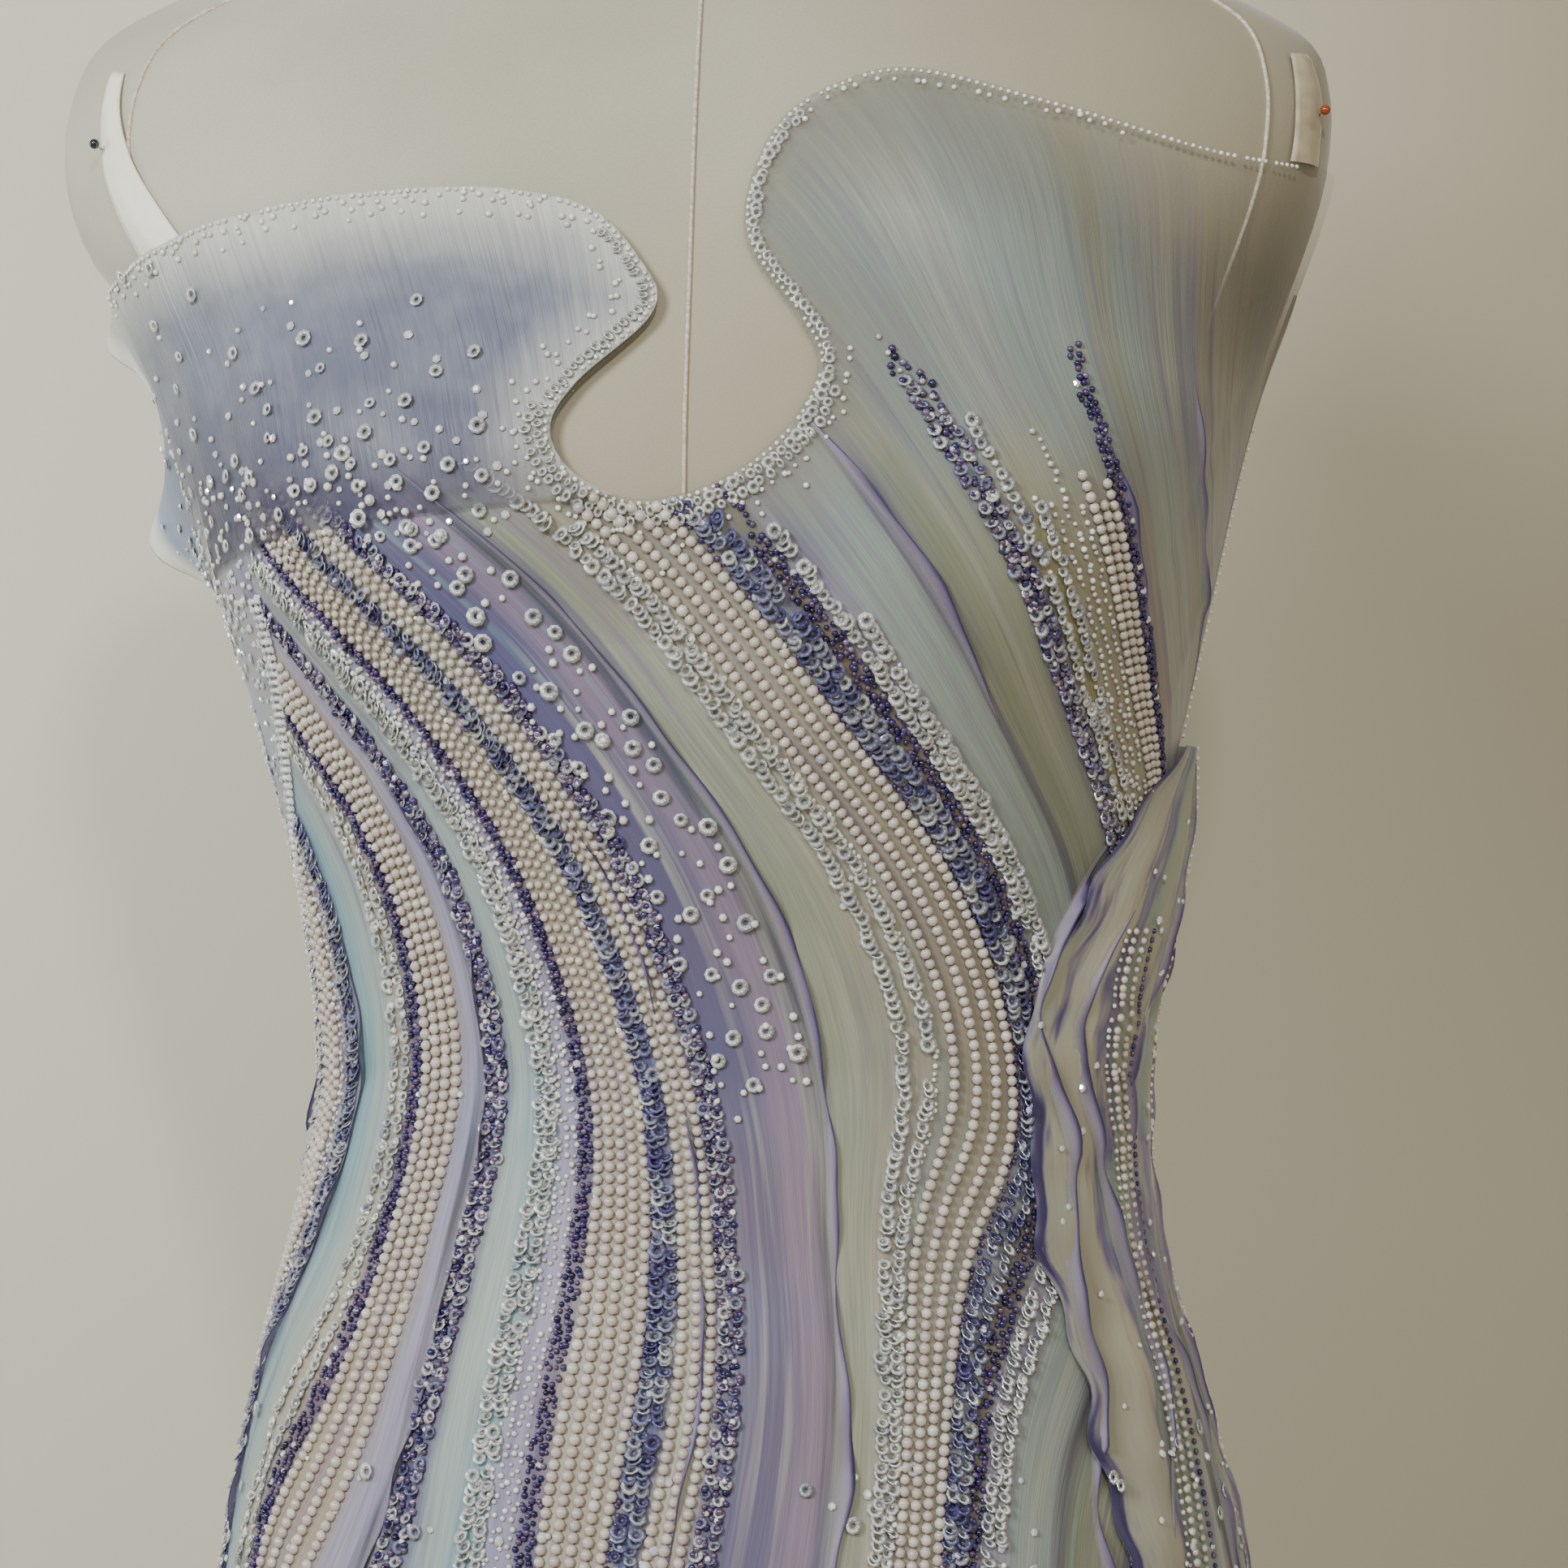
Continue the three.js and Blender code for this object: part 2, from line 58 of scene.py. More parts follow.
# Reach of the gown's face from its axis at each height, and how square its section is
SECTIONS = table(("z", "left", "right", "front", "back", "square"), [
    (24, 318, 326, 298, 308, 1),
    (160, 286, 290, 260, 272, 1),
    (300, 254, 258, 227, 240, 1),
    (440, 226, 230, 198, 212, 1),
    (580, 202, 207, 174, 187, 1),
    (700, 185, 191, 159, 167, 1),
    (800, 174, 181, 150, 155, 1),
    (884, 164, 170, 142, 146, 1),
    (960, 150, 153, 126, 128, 1),
    (1007, 138, 141, 112, 113, 1),
    (1055, 132, 136, 104, 103, 1),
    (1095, 136, 140, 107, 103, 1),
    (1130, 143, 147, 115, 106, 1),
    (1168, 153, 155, 126, 111, 1),
    (1208, 165, 164, 134, 116, 1),
    (1244, 173, 172, 134, 119, 1.03),
    (1273, 181, 180, 126, 120, 1.08),
    (1300, 195, 190, 115, 119, 1.14),
    (1325, 207, 199, 106, 116, 1.2),
    (1345, 213, 204, 98, 113, 1.22),
    (1370, 212, 205, 85, 106, 1.2),
    (1390, 201, 197, 73, 98, 1.14),
    (1408, 168, 166, 63, 87, 1.06),
    (1426, 124, 124, 58, 74, 1),
    (1444, 85, 85, 55, 63, 1),
    (1460, 66, 66, 53, 58, 1),
    (1476, 60, 60, 52, 56, 1),
    (1496, 59, 59, 52, 55, 1),
])

# Angles of the four long seams at each height
SEAMS = table(("z", "left_back", "left_front", "right_front", "right_back"), [
    (24, -128, -90, 90, 128),
    (884, -125, -89, 89, 125),
    (1007, -120, -87, 87, 120),
    (1055, -117, -83, 86, 117),
    (1100, -118, -77, 86, 118),
    (1150, -121, -64, 86, 121),
    (1200, -124, -56, 85, 124),
    (1250, -127, -62, 84, 127),
    (1290, -129, -76, 83, 129),
    (1392, -130, -84, 84, 130),
])

# Height of the top edge round the sides and the back
ARMHOLE = table(("angle", "z"), [
    (-180, 1248),
    (-150, 1253),
    (-120, 1262),
    (-96, 1270),
    (-80, 1284),
    (80, 1306),
    (96, 1272),
    (120, 1262),
    (150, 1253),
    (180, 1248),
])

# The neckline from the front: a low rounded lobe, a keyhole and a tall lobe.
NECKLINE = np.array([
    (-201, 1303),
    (-146, 1319),
    (-78, 1325),
    (-34, 1319),
    (-14, 1300),
    (-10, 1284),
    (-32, 1262),
    (-39, 1248),
    (-31, 1235),
    (-12, 1228),
    (11, 1234),
    (30, 1249),
    (39, 1268),
    (33, 1283),
    (18, 1305),
    (17, 1324),
    (27, 1347),
    (46, 1360),
    (68, 1364),
    (108, 1354),
    (160, 1341),
    (204, 1341),
], float)

HEM_Z = 24
HIP_Z = 884
WAIST_Z = 1055
BUST_Z = 1222
TOP_Z = 1380
FORM_BOTTOM_Z = 760
NECK_TOP_Z = 1496
CLOTH = 2
EASE = 1
LIFT = 0.9
SEAM_GAP = 0.3
WAIST_RADIUS = 130


def read(rows, column, at, key="z"):
    """A smooth curve through one column, read at values of the key column."""
    x, y = rows[key], rows[column]
    at = np.asarray(at, float)
    k = np.clip(np.searchsorted(x, at) - 1, 0, len(x) - 2)
    ends = np.concatenate(([0], np.arange(len(x)), [len(x) - 1]))
    slope = (y[ends[2:]] - y[ends[:-2]]) / (x[ends[2:]] - x[ends[:-2]])
    span = x[k + 1] - x[k]
    t = np.clip((at - x[k]) / span, 0, 1)
    rise = y[k + 1] - y[k]
    bend = t * (1 - t) * ((1 - t) * (slope[k] * span - rise) + t * (rise - slope[k + 1] * span))
    return y[k] + rise * t + bend


def smoothstep(x, low, high):
    t = np.clip((np.asarray(x, float) - low) / (high - low), 0, 1)
    return t * t * (3 - 2 * t)


def spline(points, steps):
    """A smooth curve through points, as steps + 1 places evenly spread over its spans."""
    p = np.asarray(points, float)
    place = np.linspace(0, len(p) - 1, steps + 1)
    k = np.minimum(place.astype(int), len(p) - 2)
    t = (place - k)[:, None]
    before, after = p[np.maximum(k - 1, 0)], p[np.minimum(k + 2, len(p) - 1)]
    here, there = p[k], p[k + 1]
    v0, v1 = (there - before) / 2, (after - here) / 2
    cubic = (2 * here - 2 * there + v0 + v1) * t**3
    return cubic + (-3 * here + 3 * there - 2 * v0 - v1) * t**2 + v0 * t + here


# The body's form


FOLD_TOP_Z = 720
FOLD_DEPTH = 15


def fold(angle, z):
    """Soft folds of the skirt, which open towards the hem."""
    opened = smoothstep(FOLD_TOP_Z - z, 0, FOLD_TOP_Z - HEM_Z) ** 1.2
    return FOLD_DEPTH * opened * (np.cos(9 * angle + 0.7) + 0.45 * np.cos(5 * angle + 2.1))


BUST_ANGLE = math.radians(35)
BUST_WIDTH = math.radians(21)
BUST_HEIGHT = 46
BUST_RISE = 11


def bust(angle, z):
    """How far the two cups stand out."""
    across = (np.abs(angle) - BUST_ANGLE) / BUST_WIDTH
    return BUST_RISE * np.exp(-across * across - ((z - BUST_Z) / BUST_HEIGHT) ** 2)


# Creases of the bodice and the hip: where they lie, their lean, size and depth
CREASES = table(("angle", "z", "lean", "length", "width", "depth"), [
    (-70, 1070, 72, 34, 4.0, 0.9),
    (-62, 1049, 80, 42, 4.5, -0.8),
    (-74, 1028, 96, 30, 3.5, 0.8),
    (-50, 1012, 60, 46, 5.0, -0.6),
    (64, 1072, 108, 40, 4.5, 0.9),
    (71, 1050, 100, 34, 4.0, -0.9),
    (58, 1031, 84, 44, 4.5, 0.7),
    (40, 1008, 118, 48, 5.5, -0.6),
    (-20, 1040, 90, 55, 6.0, 0.5),
    (18, 1066, 94, 60, 6.0, 0.5),
    (-44, 1150, 35, 40, 5.0, -0.7),
    (47, 1158, 140, 44, 5.5, 0.7),
    (75, 1200, 20, 38, 4.0, 0.8),
    (66, 1243, 28, 42, 4.5, -0.8),
    (-150, 1060, 86, 45, 5.0, 0.8),
    (-135, 1030, 95, 38, 4.5, -0.8),
    (148, 1052, 92, 48, 5.0, 0.8),
    (132, 1078, 80, 36, 4.0, -0.7),
    (165, 1010, 60, 50, 6.0, 0.6),
    (-166, 1105, 120, 40, 5.0, 0.6),
    (-30, 940, 12, 90, 9.0, 1.4),
    (22, 925, -10, 100, 10.0, -1.3),
    (58, 930, 8, 95, 8.0, 1.5),
    (-66, 935, -9, 90, 8.0, -1.2),
])
CREASE_RADIUS = 145


def crease(angle, z):
    """Ridges and troughs of the bodice cloth. lean is the angle from the vertical."""
    height = np.zeros(np.broadcast(angle, z).shape)
    for a, cz, lean, length, width, depth in zip(*CREASES.values()):
        across = (angle - math.radians(a)) * CREASE_RADIUS
        up = z - cz
        c, s = math.cos(math.radians(lean)), math.sin(math.radians(lean))
        on = (up * c + across * s) / length
        off = (across * c - up * s) / width
        height = height + depth * np.exp(-on * on - off * off)
    return height


def power(value, exponent):
    """A signed power."""
    return np.sign(value) * np.abs(value) ** exponent


def half(x, z, low, high):
    """The section's reach at a height, from the column low where x is below 0 and high elsewhere."""
    return np.where(x < 0, read(SECTIONS, low, z), read(SECTIONS, high, z))


def gown(angle, z, fine=True):
    """Points of the gown's outer face, in millimetres."""
    angle, z = np.broadcast_arrays(np.asarray(angle, float), np.asarray(z, float))
    square = read(SECTIONS, "square", z)
    across, along = power(np.sin(angle), 1 / square), power(np.cos(angle), 1 / square)
    side, depth = half(across, z, "left", "right"), half(-along, z, "front", "back")
    rise = fold(angle, z) + bust(angle, z)
    if fine:
        rise = rise + crease(angle, z)
    return np.stack([(side + rise) * across, -(depth + rise) * along, z], -1)


TURN_STEP = math.radians(0.8)
RISE_STEP = 2.0


def normals(angle, z, fine=True):
    """Outward unit normals of the gown's face."""
    across = gown(angle + TURN_STEP, z, fine) - gown(angle - TURN_STEP, z, fine)
    up = gown(angle, z + RISE_STEP, fine) - gown(angle, z - RISE_STEP, fine)
    n = np.cross(across, up)
    return n / np.linalg.norm(n, axis=-1, keepdims=True)


def offset(angle, z, distance, fine=True):
    return gown(angle, z, fine) + normals(angle, z, fine) * np.asarray(distance)[..., None]


def angle_at(points):
    """The angle round the body of points that lie near the gown's face."""
    x, y, z = points[..., 0], points[..., 1], points[..., 2]
    square = read(SECTIONS, "square", z)
    side, depth = half(x, z, "left", "right"), half(y, z, "front", "back")
    angle = np.arctan2(x / side, -y / depth)
    for _ in range(3):
        rise = fold(angle, z) + bust(angle, z)
        angle = np.arctan2(power(x / (side + rise), square), power(-y / (depth + rise), square))
    return angle


def angle_of_x(x, z):
    """The angle on the front where the gown's face stands at x."""
    square = read(SECTIONS, "square", z)
    side = half(x, z, "left", "right")
    angle = np.arcsin(np.clip(x / side, -1, 1))
    for _ in range(6):
        u = np.clip(x / (side + fold(angle, z) + bust(angle, z)), -1, 1)
        angle = np.arcsin(power(u, square))
    return angle


NECK_EDGE = spline(NECKLINE, 420)


def above_neckline(x, z):
    """Signed distance in the front view to the neckline, + above it."""
    first, last = NECK_EDGE[0], NECK_EDGE[-1]
    line = np.concatenate([[(-300, first[1])], NECK_EDGE, [(300, last[1])]])
    a, b = line[:-1], line[1:]
    x, z = np.asarray(x, float).ravel(), np.asarray(z, float).ravel()
    best = np.full(x.shape, 1e9)
    crossings = np.zeros(x.shape, int)
    for (ax, az), (bx, bz) in zip(a, b):
        dx, dz = bx - ax, bz - az
        t = np.clip(((x - ax) * dx + (z - az) * dz) / (dx * dx + dz * dz + 1e-9), 0, 1)
        best = np.minimum(best, (x - ax - t * dx) ** 2 + (z - az - t * dz) ** 2)
        between = (ax <= x) != (bx <= x)
        at = az + (x - ax) * dz / (dx if dx else 1e-9)
        crossings += between & (at < z)
    return np.where(crossings % 2 == 1, 1, -1) * np.sqrt(best)


# The flow of the painted bands, a generic marbling: bands run along lines of equal flow

# Millimetres of pattern for one radian round the body
AROUND = 150

# How far the pattern is turned at each height above the waist
SHIFT = table(("up", "shift"), [
    (-1031, 40),
    (-800, 30),
    (-600, 8),
    (-400, -22),
    (-250, -38),
    (-150, -30),
    (-60, -8),
    (0, 0),
    (60, -20),
    (120, -68),
    (180, -122),
    (240, -170),
    (300, -198),
    (345, -206),
])


def flow(angle, z):
    p, q = np.asarray(angle) * AROUND, np.asarray(z) - WAIST_Z
    waves = 12 * np.sin(p / 42 + q / 90 + 1) + 8 * np.sin(p / 75 - q / 55 + 2.2)
    return p - read(SHIFT, "shift", q, "up") + waves + 4 * np.sin(p / 25 + q / 37)


def angle_of_flow(value, z):
    """The angle round the body where the flow has a value, at each height."""
    angle = (value + read(SHIFT, "shift", np.asarray(z) - WAIST_Z, "up")) / AROUND
    step = 1e-4
    for _ in range(14):
        error = flow(angle, z) - value
        slope = (flow(angle + step, z) - flow(angle - step, z)) / (2 * step)
        angle = angle - 0.9 * error / np.maximum(slope, 40)
    return angle


PAINTS = {
    "aqua": "#91A19C",
    "pale": "#A2A99F",
    "sage": "#8E927B",
    "moss": "#798163",
    "lilac": "#8D86A3",
    "mist": "#7F8296",
    "mauve": "#776281",
    "plum": "#4F3A5D",
    "violet": "#3D3068",
    "indigo": "#2B2467",
    "ink": "#201A40",
    "teal": "#6B939C",
    "cream": "#A59D87",
    "pearl": "#9E917C",
    "peach": "#9B867A",
    "ochre": "#9A8C50",
    "straw": "#A39B76",
    "brown": "#5A4736",
}

# Painted bands from the flow where each starts. Some also name the beads sewn along them, and
# between which heights above the waist.
BANDS = [
    (-471, "sage"),
    (-430, "lilac"),
    (-404, "lilac", "clear", 190, -90),
    (-397, "aqua"),
    (-350, "cream", "pearls", 150, -120),
    (-334, "mauve", "lines", 120, -160),
    (-326, "pale"),
    (-272, "violet"),
    (-269, "lilac"),
    (-240, "sage"),
    (-214, "aqua"),
    (-203, "violet", "dark", 60, -330),
    (-197, "lilac", "clear", 84, -300),
    (-187, "pearl", "pearls", 96, -420),
    (-169, "mauve", "lines", 104, -380),
    (-160, "indigo", "sequins", 120, -360),
    (-151, "teal"),
    (-138, "aqua"),
    (-128, "cream", "scales", 126, -300),
    (-115, "plum", "dark", 142, -380),
    (-109, "pearl", "pearls", 146, -420),
    (-89, "lilac"),
    (-80, "ink"),
    (-78, "violet", "cluster", 168, -410),
    (-68, "aqua"),
    (-55, "teal", "clear", 164, -330),
    (-46, "lilac", "lines", 150, -280),
    (-37, "plum", "dark", 176, -380),
    (-31, "pearl", "pearls", 182, -460),
    (-7, "indigo", "sequins", 186, -330),
    (2, "cream", "pearls", 180, -400),
    (17, "violet", "cluster", 186, -300),
    (26, "violet", "rings", 190, -20),
    (44, "mauve", "rings", 194, 0),
    (58, "ink"),
    (60, "sage"),
    (76, "cream", "clear", 176, -300),
    (85, "pearl", "pearls", 184, -430),
    (104, "mist", "sequins", 180, -240),
    (113, "brown", "dark", 170, -360),
    (119, "lilac", "clear", 150, -260),
    (129, "aqua"),
    (151, "ink"),
    (153, "moss"),
    (166, "sage"),
    (181, "violet", "cluster", 214, -350),
    (191, "ochre", "scales", 186, 10),
    (205, "straw", "lines", 180, 40),
    (221, "cream", "pearls", 176, -240),
    (236, "plum", "dark", 212, -320),
    (243, "peach"),
    (254, "pale"),
    (288, "sage"),
    (306, "teal"),
    (314, "pale"),
    (352, "lilac"),
    (374, "aqua"),
    (404, "violet", "dark", 150, -120),
    (411, "cream", "pearls", 140, -160),
    (430, "mauve"),
    (446, "sage"),
    (471, "sage"),
]

# The quiet upper part of the bodice, from the flow where each paint starts
UPPER = [
    (-100, "lilac"),
    (0, "mist"),
    (60, "aqua"),
    (130, "sage"),
    (168, "aqua"),
    (196, "pale"),
    (216, "aqua"),
    (250, "sage"),
    (262, "aqua"),
    (276, "pale"),
    (296, "mist"),
    (304, "lilac"),
    (309, "cream"),
    (328, "cream"),
    (352, "sage"),
    (380, "cream"),
    (420, "cream"),
    (520, "cream"),
]


# Meshes


def put_mesh(name, points, faces, smooth=True):
    """A mesh object from points in millimetres and faces of one size."""
    points, faces = np.asarray(points, float) * MM, np.asarray(faces, np.int32)
    corners = faces.shape[1]
    mesh = bpy.data.meshes.new(name)
    mesh.vertices.add(len(points))
    mesh.vertices.foreach_set("co", points.ravel())
    mesh.loops.add(faces.size)
    mesh.loops.foreach_set("vertex_index", faces.ravel())
    mesh.polygons.add(len(faces))
    mesh.polygons.foreach_set("loop_start", np.arange(0, faces.size, corners, dtype=np.int32))
    mesh.polygons.foreach_set("use_smooth", np.full(len(faces), smooth))
    mesh.update(calc_edges=True)
    mesh.validate()
    obj = bpy.data.objects.new(name, mesh)
    bpy.context.scene.collection.objects.link(obj)
    return obj


def set_numbers(obj, name, values):
    """One number for each point, for the materials to read."""
    data = obj.data.attributes.new(name, "FLOAT", "POINT")
    data.data.foreach_set("value", np.asarray(values, np.float32).ravel())


def points_of(obj):
    co = np.empty(len(obj.data.vertices) * 3)
    obj.data.vertices.foreach_get("co", co)
    return co.reshape(-1, 3) / MM


def grid(rows, columns):
    """Quads of a grid of points, facing out where columns run round and rows run up."""
    a = (np.arange(rows)[:, None] * (columns + 1) + np.arange(columns)).ravel()
    return np.stack([a, a + 1, a + columns + 2, a + columns + 1], 1)


def trim(obj, values):
    """Cuts a mesh along the line where the values of its points are 0 and keeps the part below."""
    bm = bmesh.new()
    bm.from_mesh(obj.data)
    bm.verts.ensure_lookup_table()
    level = {v: float(x) for v, x in zip(bm.verts, values)}
    nearly = 0.02
    for v, x in level.items():
        if abs(x) < nearly:
            level[v] = 0.0
    for edge in list(bm.edges):
        v, w = edge.verts
        a, b = level[v], level[w]
        if a * b < 0:
            _, made = bmesh.utils.edge_split(edge, v, abs(a) / (abs(a) + abs(b)))
            level[made] = 0.0
    for face in list(bm.faces):
        zeros = [v for v in face.verts if level[v] == 0.0]
        if len(zeros) == 2 and {level[v] > 0 for v in face.verts if level[v]} == {True, False}:
            bmesh.utils.face_split(face, zeros[0], zeros[1])
    above = [f for f in bm.faces if sum(level[v] for v in f.verts) > 0]
    bmesh.ops.delete(bm, geom=above, context="FACES")
    bm.to_mesh(obj.data)
    bm.free()


def thicken(obj, thickness):
    """Makes the sheet a closed wall, inwards from its face."""
    wall = obj.modifiers.new("wall", "SOLIDIFY")
    wall.thickness = thickness * MM
    wall.offset = -1
    wall.use_even_offset = False
    graph = bpy.context.evaluated_depsgraph_get()
    made = bpy.data.meshes.new_from_object(obj.evaluated_get(graph))
    old = obj.data
    obj.modifiers.clear()
    obj.data = made
    bpy.data.meshes.remove(old)
    obj.data.name = obj.name


FRONT_REACH = 100
FAR_BELOW = 100.0


def rim_of(points, angle):
    """Distance below the gown's top edge on the front, and a large one elsewhere."""
    front = np.abs(angle) < math.radians(FRONT_REACH)
    near = front & (points[:, 2] > BUST_Z - 40)
    rim = np.full(len(points), FAR_BELOW)
    rim[near] = np.maximum(0, -above_neckline(points[near, 0], points[near, 2]))
    return rim


PLACES = {
    "flow": lambda points, angle: flow(angle, points[:, 2]),
    "along": lambda points, angle: points[:, 2],
    "around": lambda points, angle: angle * AROUND,
    "rim": rim_of,
}


def mark(obj, *names):
    """Gives the materials each point's place in the painted pattern, by the names that they read."""
    points = points_of(obj)
    angle = angle_at(points)
    for name in names:
        set_numbers(obj, name, PLACES[name](points, angle))


# Materials


def linear(hex_colour):
    channels = [int(hex_colour[i : i + 2], 16) / 255 for i in (1, 3, 5)]
    straight = [c / 12.92 if c <= 0.04045 else ((c + 0.055) / 1.055) ** 2.4 for c in channels]
    return (*straight, 1.0)


class Shader:
    """A material's node tree, built by short calls."""

    def __init__(self, name):
        self.material = bpy.data.materials.new(name)
        self.material.use_nodes = True
        self.tree = self.material.node_tree
        self.tree.nodes.clear()
        self.output = self.tree.nodes.new("ShaderNodeOutputMaterial")
        self.surface = self.tree.nodes.new("ShaderNodeBsdfPrincipled")
        self.link(self.surface.outputs[0], self.output.inputs["Surface"])

    def link(self, source, target):
        self.tree.links.new(source, target)

    def node(self, kind, inputs=None, **settings):
        made = self.tree.nodes.new("ShaderNode" + kind)
        for name, value in settings.items():
            setattr(made, name, value)
        for key, value in (inputs or {}).items():
            self.feed(made.inputs[key], value)
        return made

    def feed(self, socket, value):
        if isinstance(value, bpy.types.NodeSocket):
            self.link(value, socket)
        else:
            socket.default_value = linear(value) if isinstance(value, str) else value

    def set(self, **values):
        for name, value in values.items():
            self.feed(self.surface.inputs[name.replace("_", " ")], value)

    def number(self, name):
        return self.node("Attribute", attribute_name=name).outputs["Fac"]

    def math(self, operation, a, b=0.0, c=0.0):
        return self.node("Math", {0: a, 1: b, 2: c}, operation=operation).outputs[0]

    def place(self, x, y, z=0.0):
        return self.node("CombineXYZ", {0: x, 1: y, 2: z}).outputs[0]

    def noise(self, vector, scale=1.0, detail=2.0, roughness=0.5):
        inputs = {"Vector": vector, "Scale": scale, "Detail": detail, "Roughness": roughness}
        return self.node("TexNoise", inputs).outputs["Fac"]

    def here(self):
        return self.node("TexCoord").outputs["Object"]

    def mix(self, factor, a, b, blend="MIX"):
        made = self.node("Mix", data_type="RGBA", blend_type=blend)
        self.feed(made.inputs[0], factor)
        self.feed(made.inputs[6], a)
        self.feed(made.inputs[7], b)
        return made.outputs[2]

    def ramp(self, factor, stops):
        made = self.node("ValToRGB", {0: factor})
        elements = made.color_ramp.elements
        while len(elements) < len(stops):
            elements.new(0.5)
        for element, (place, colour) in zip(elements, stops):
            element.position = place
            element.color = colour
        return made.outputs[0]

    def greys(self, factor, *stops):
        """A ramp through (place, grey value) stops."""
        return self.ramp(factor, [(place, grey(value)) for place, value in stops])

    def tints(self, factor, *stops):
        """A ramp through (place, hex colour) stops."""
        return self.ramp(factor, [(place, linear(colour)) for place, colour in stops])

    def span(self, value, low, high, first=0.0, last=1.0):
        """Where a value lies between low and high, as a number between first and last."""
        inputs = {"Value": value, "From Min": low, "From Max": high, "To Min": first, "To Max": last}
        return self.node("MapRange", inputs).outputs[0]

    def stretched(self, x, x_scale, y, y_scale, z=0.0):
        """A place in a pattern that is stretched along its lines."""
        return self.place(self.math("MULTIPLY", x, x_scale), self.math("MULTIPLY", y, y_scale), z)

    def shifted(self, place, noise):
        """A place moved to and fro by noise, by up to a quarter."""
        return self.math("MULTIPLY_ADD", noise, 0.5, self.math("SUBTRACT", place, 0.25))

    def bump(self, height, distance, strength=1.0, under=None):
        inputs = {"Height": height, "Distance": distance * MM, "Strength": strength}
        if under is not None:
            inputs["Normal"] = under
        return self.node("Bump", inputs).outputs[0]

    def weave(self):
        """The fine thread of the sheer cloth."""
        return self.bump(self.noise(self.here(), 2600, 1), 0.1, 0.25)


def grey(value):
    return (value, value, value, 1.0)


MOST_STOPS = 30
SOFT_SHARE = 0.3
SOFT_EDGE = 4.0


def band_colours(shader, place, rows):
    """The colour of the painted bands at a flow, through as few ramps as hold their stops."""
    stops = []
    for (start, paint, *_), (end, *_) in zip(rows, rows[1:]):
        soft = min((end - start) * SOFT_SHARE, SOFT_EDGE)
        colour = linear(PAINTS[paint])
        stops += [(start + soft, colour), (end - soft, colour)]
    result = None
    for first in range(0, len(stops), MOST_STOPS - 1):
        part = stops[first : first + MOST_STOPS]
        if len(part) < 2:
            break
        low, high = part[0][0], part[-1][0]
        spread = [((at - low) / (high - low), colour) for at, colour in part]
        colour = shader.ramp(shader.span(place, low, high), spread)
        if result is None:
            result = colour
        else:
            result = shader.mix(shader.math("GREATER_THAN", place, low), result, colour)
    return result


def strokes(s, across, along, slice_at, low, high, most):
    """Long brush strokes along the flow: where they lie and how strongly."""
    where = s.stretched(across, 0.11, along, 0.0045, slice_at)
    return s.greys(s.noise(where, 1, 3, 0.68), (low, 0.0), (high, most))


# Heights between which the bands give way to the quiet upper part
QUIET_FROM = 1216
QUIET_TO = 1262

# Brush strokes over the bands: slice of the noise, where they start and end, strength and paint
STROKES = [
    (3.1, 0.56, 0.68, 0.62, "#463A73"),
    (9.7, 0.57, 0.69, 0.6, "#7C6686"),
    (15.3, 0.6, 0.7, 0.4, "#6C9196"),
    (21.9, 0.55, 0.7, 0.55, "#B7B4A6"),
]


def painted_cloth(name, fade=0.0, sheer=False):
    """Painted organza: brushed bands along the flow. fade pales it. sheer thins its top edge."""
    s = Shader(name)
    across, along = s.number("flow"), s.number("along")
    drift = s.noise(s.stretched(across, 0.03, along, 0.011), 1, 3)
    brush = s.noise(s.stretched(across, 0.42, along, 0.014), 1, 4, 0.6)
    place = s.math("ADD", across, s.math("MULTIPLY_ADD", drift, 10.0, -5.0))
    place = s.math("ADD", place, s.math("MULTIPLY_ADD", brush, 9.0, -4.5))
    colour = band_colours(s, place, BANDS)
    rise = s.math("MULTIPLY_ADD", drift, 90.0, s.math("SUBTRACT", along, 45.0))
    quiet = s.mix(1.0, band_colours(s, place, UPPER), grey(0.79), "MULTIPLY")
    colour = s.mix(s.span(rise, QUIET_FROM, QUIET_TO), colour, quiet)
    for slice_at, low, high, most, paint in STROKES:
        colour = s.mix(strokes(s, across, along, slice_at, low, high, most), colour, paint)
    hair = s.noise(s.stretched(across, 1.6, along, 0.03), 1, 3, 0.65)
    light = s.greys(hair, (0.3, 0.36), (0.5, 0.5), (0.72, 0.64))
    colour = s.mix(0.8, colour, light, "OVERLAY")
    cloud = s.noise(s.here(), 14, 3)
    tint = s.tints(cloud, (0.36, "#A4B2BC"), (0.52, "#B3B3AC"), (0.66, "#BBAD9B"))
    colour = s.mix(0.15, colour, tint)
    if fade:
        colour = s.mix(fade, colour, "#B7B6B0")
    around, rim = s.number("around"), s.number("rim")
    # Painted shade: the cloth turns darker and warmer towards the right, away from the light on the left
    colour = s.mix(s.span(around, -20, 110, 0, 0.42), colour, "#6F6B5B")
    bound = s.greys(s.math("MULTIPLY", rim, 0.025), (0.0, 0.7), (0.25, 0.35), (0.8, 0.0))
    colour = s.mix(bound, colour, "#A29E8D")
    s.set(Base_Color=colour, Roughness=0.46, Normal=s.bump(brush, 0.9, 0.5))
    s.set(Sheen_Weight=0.2, Sheen_Roughness=0.4, Specular_IOR_Level=0.4)
    if sheer:
        edge = s.math("MULTIPLY_ADD", brush, 16.0, s.math("SUBTRACT", rim, 8.0))
        near = s.greys(s.math("MULTIPLY", edge, 0.02), (0.0, 0.7), (0.35, 0.4), (0.95, 0.0))
        far = s.greys(s.math("MULTIPLY", edge, 0.014), (0.0, 0.92), (0.4, 0.74), (1.0, 0.0))
        see_through(s, s.mix(s.span(around, 40, 120), near, far))
    return s.material


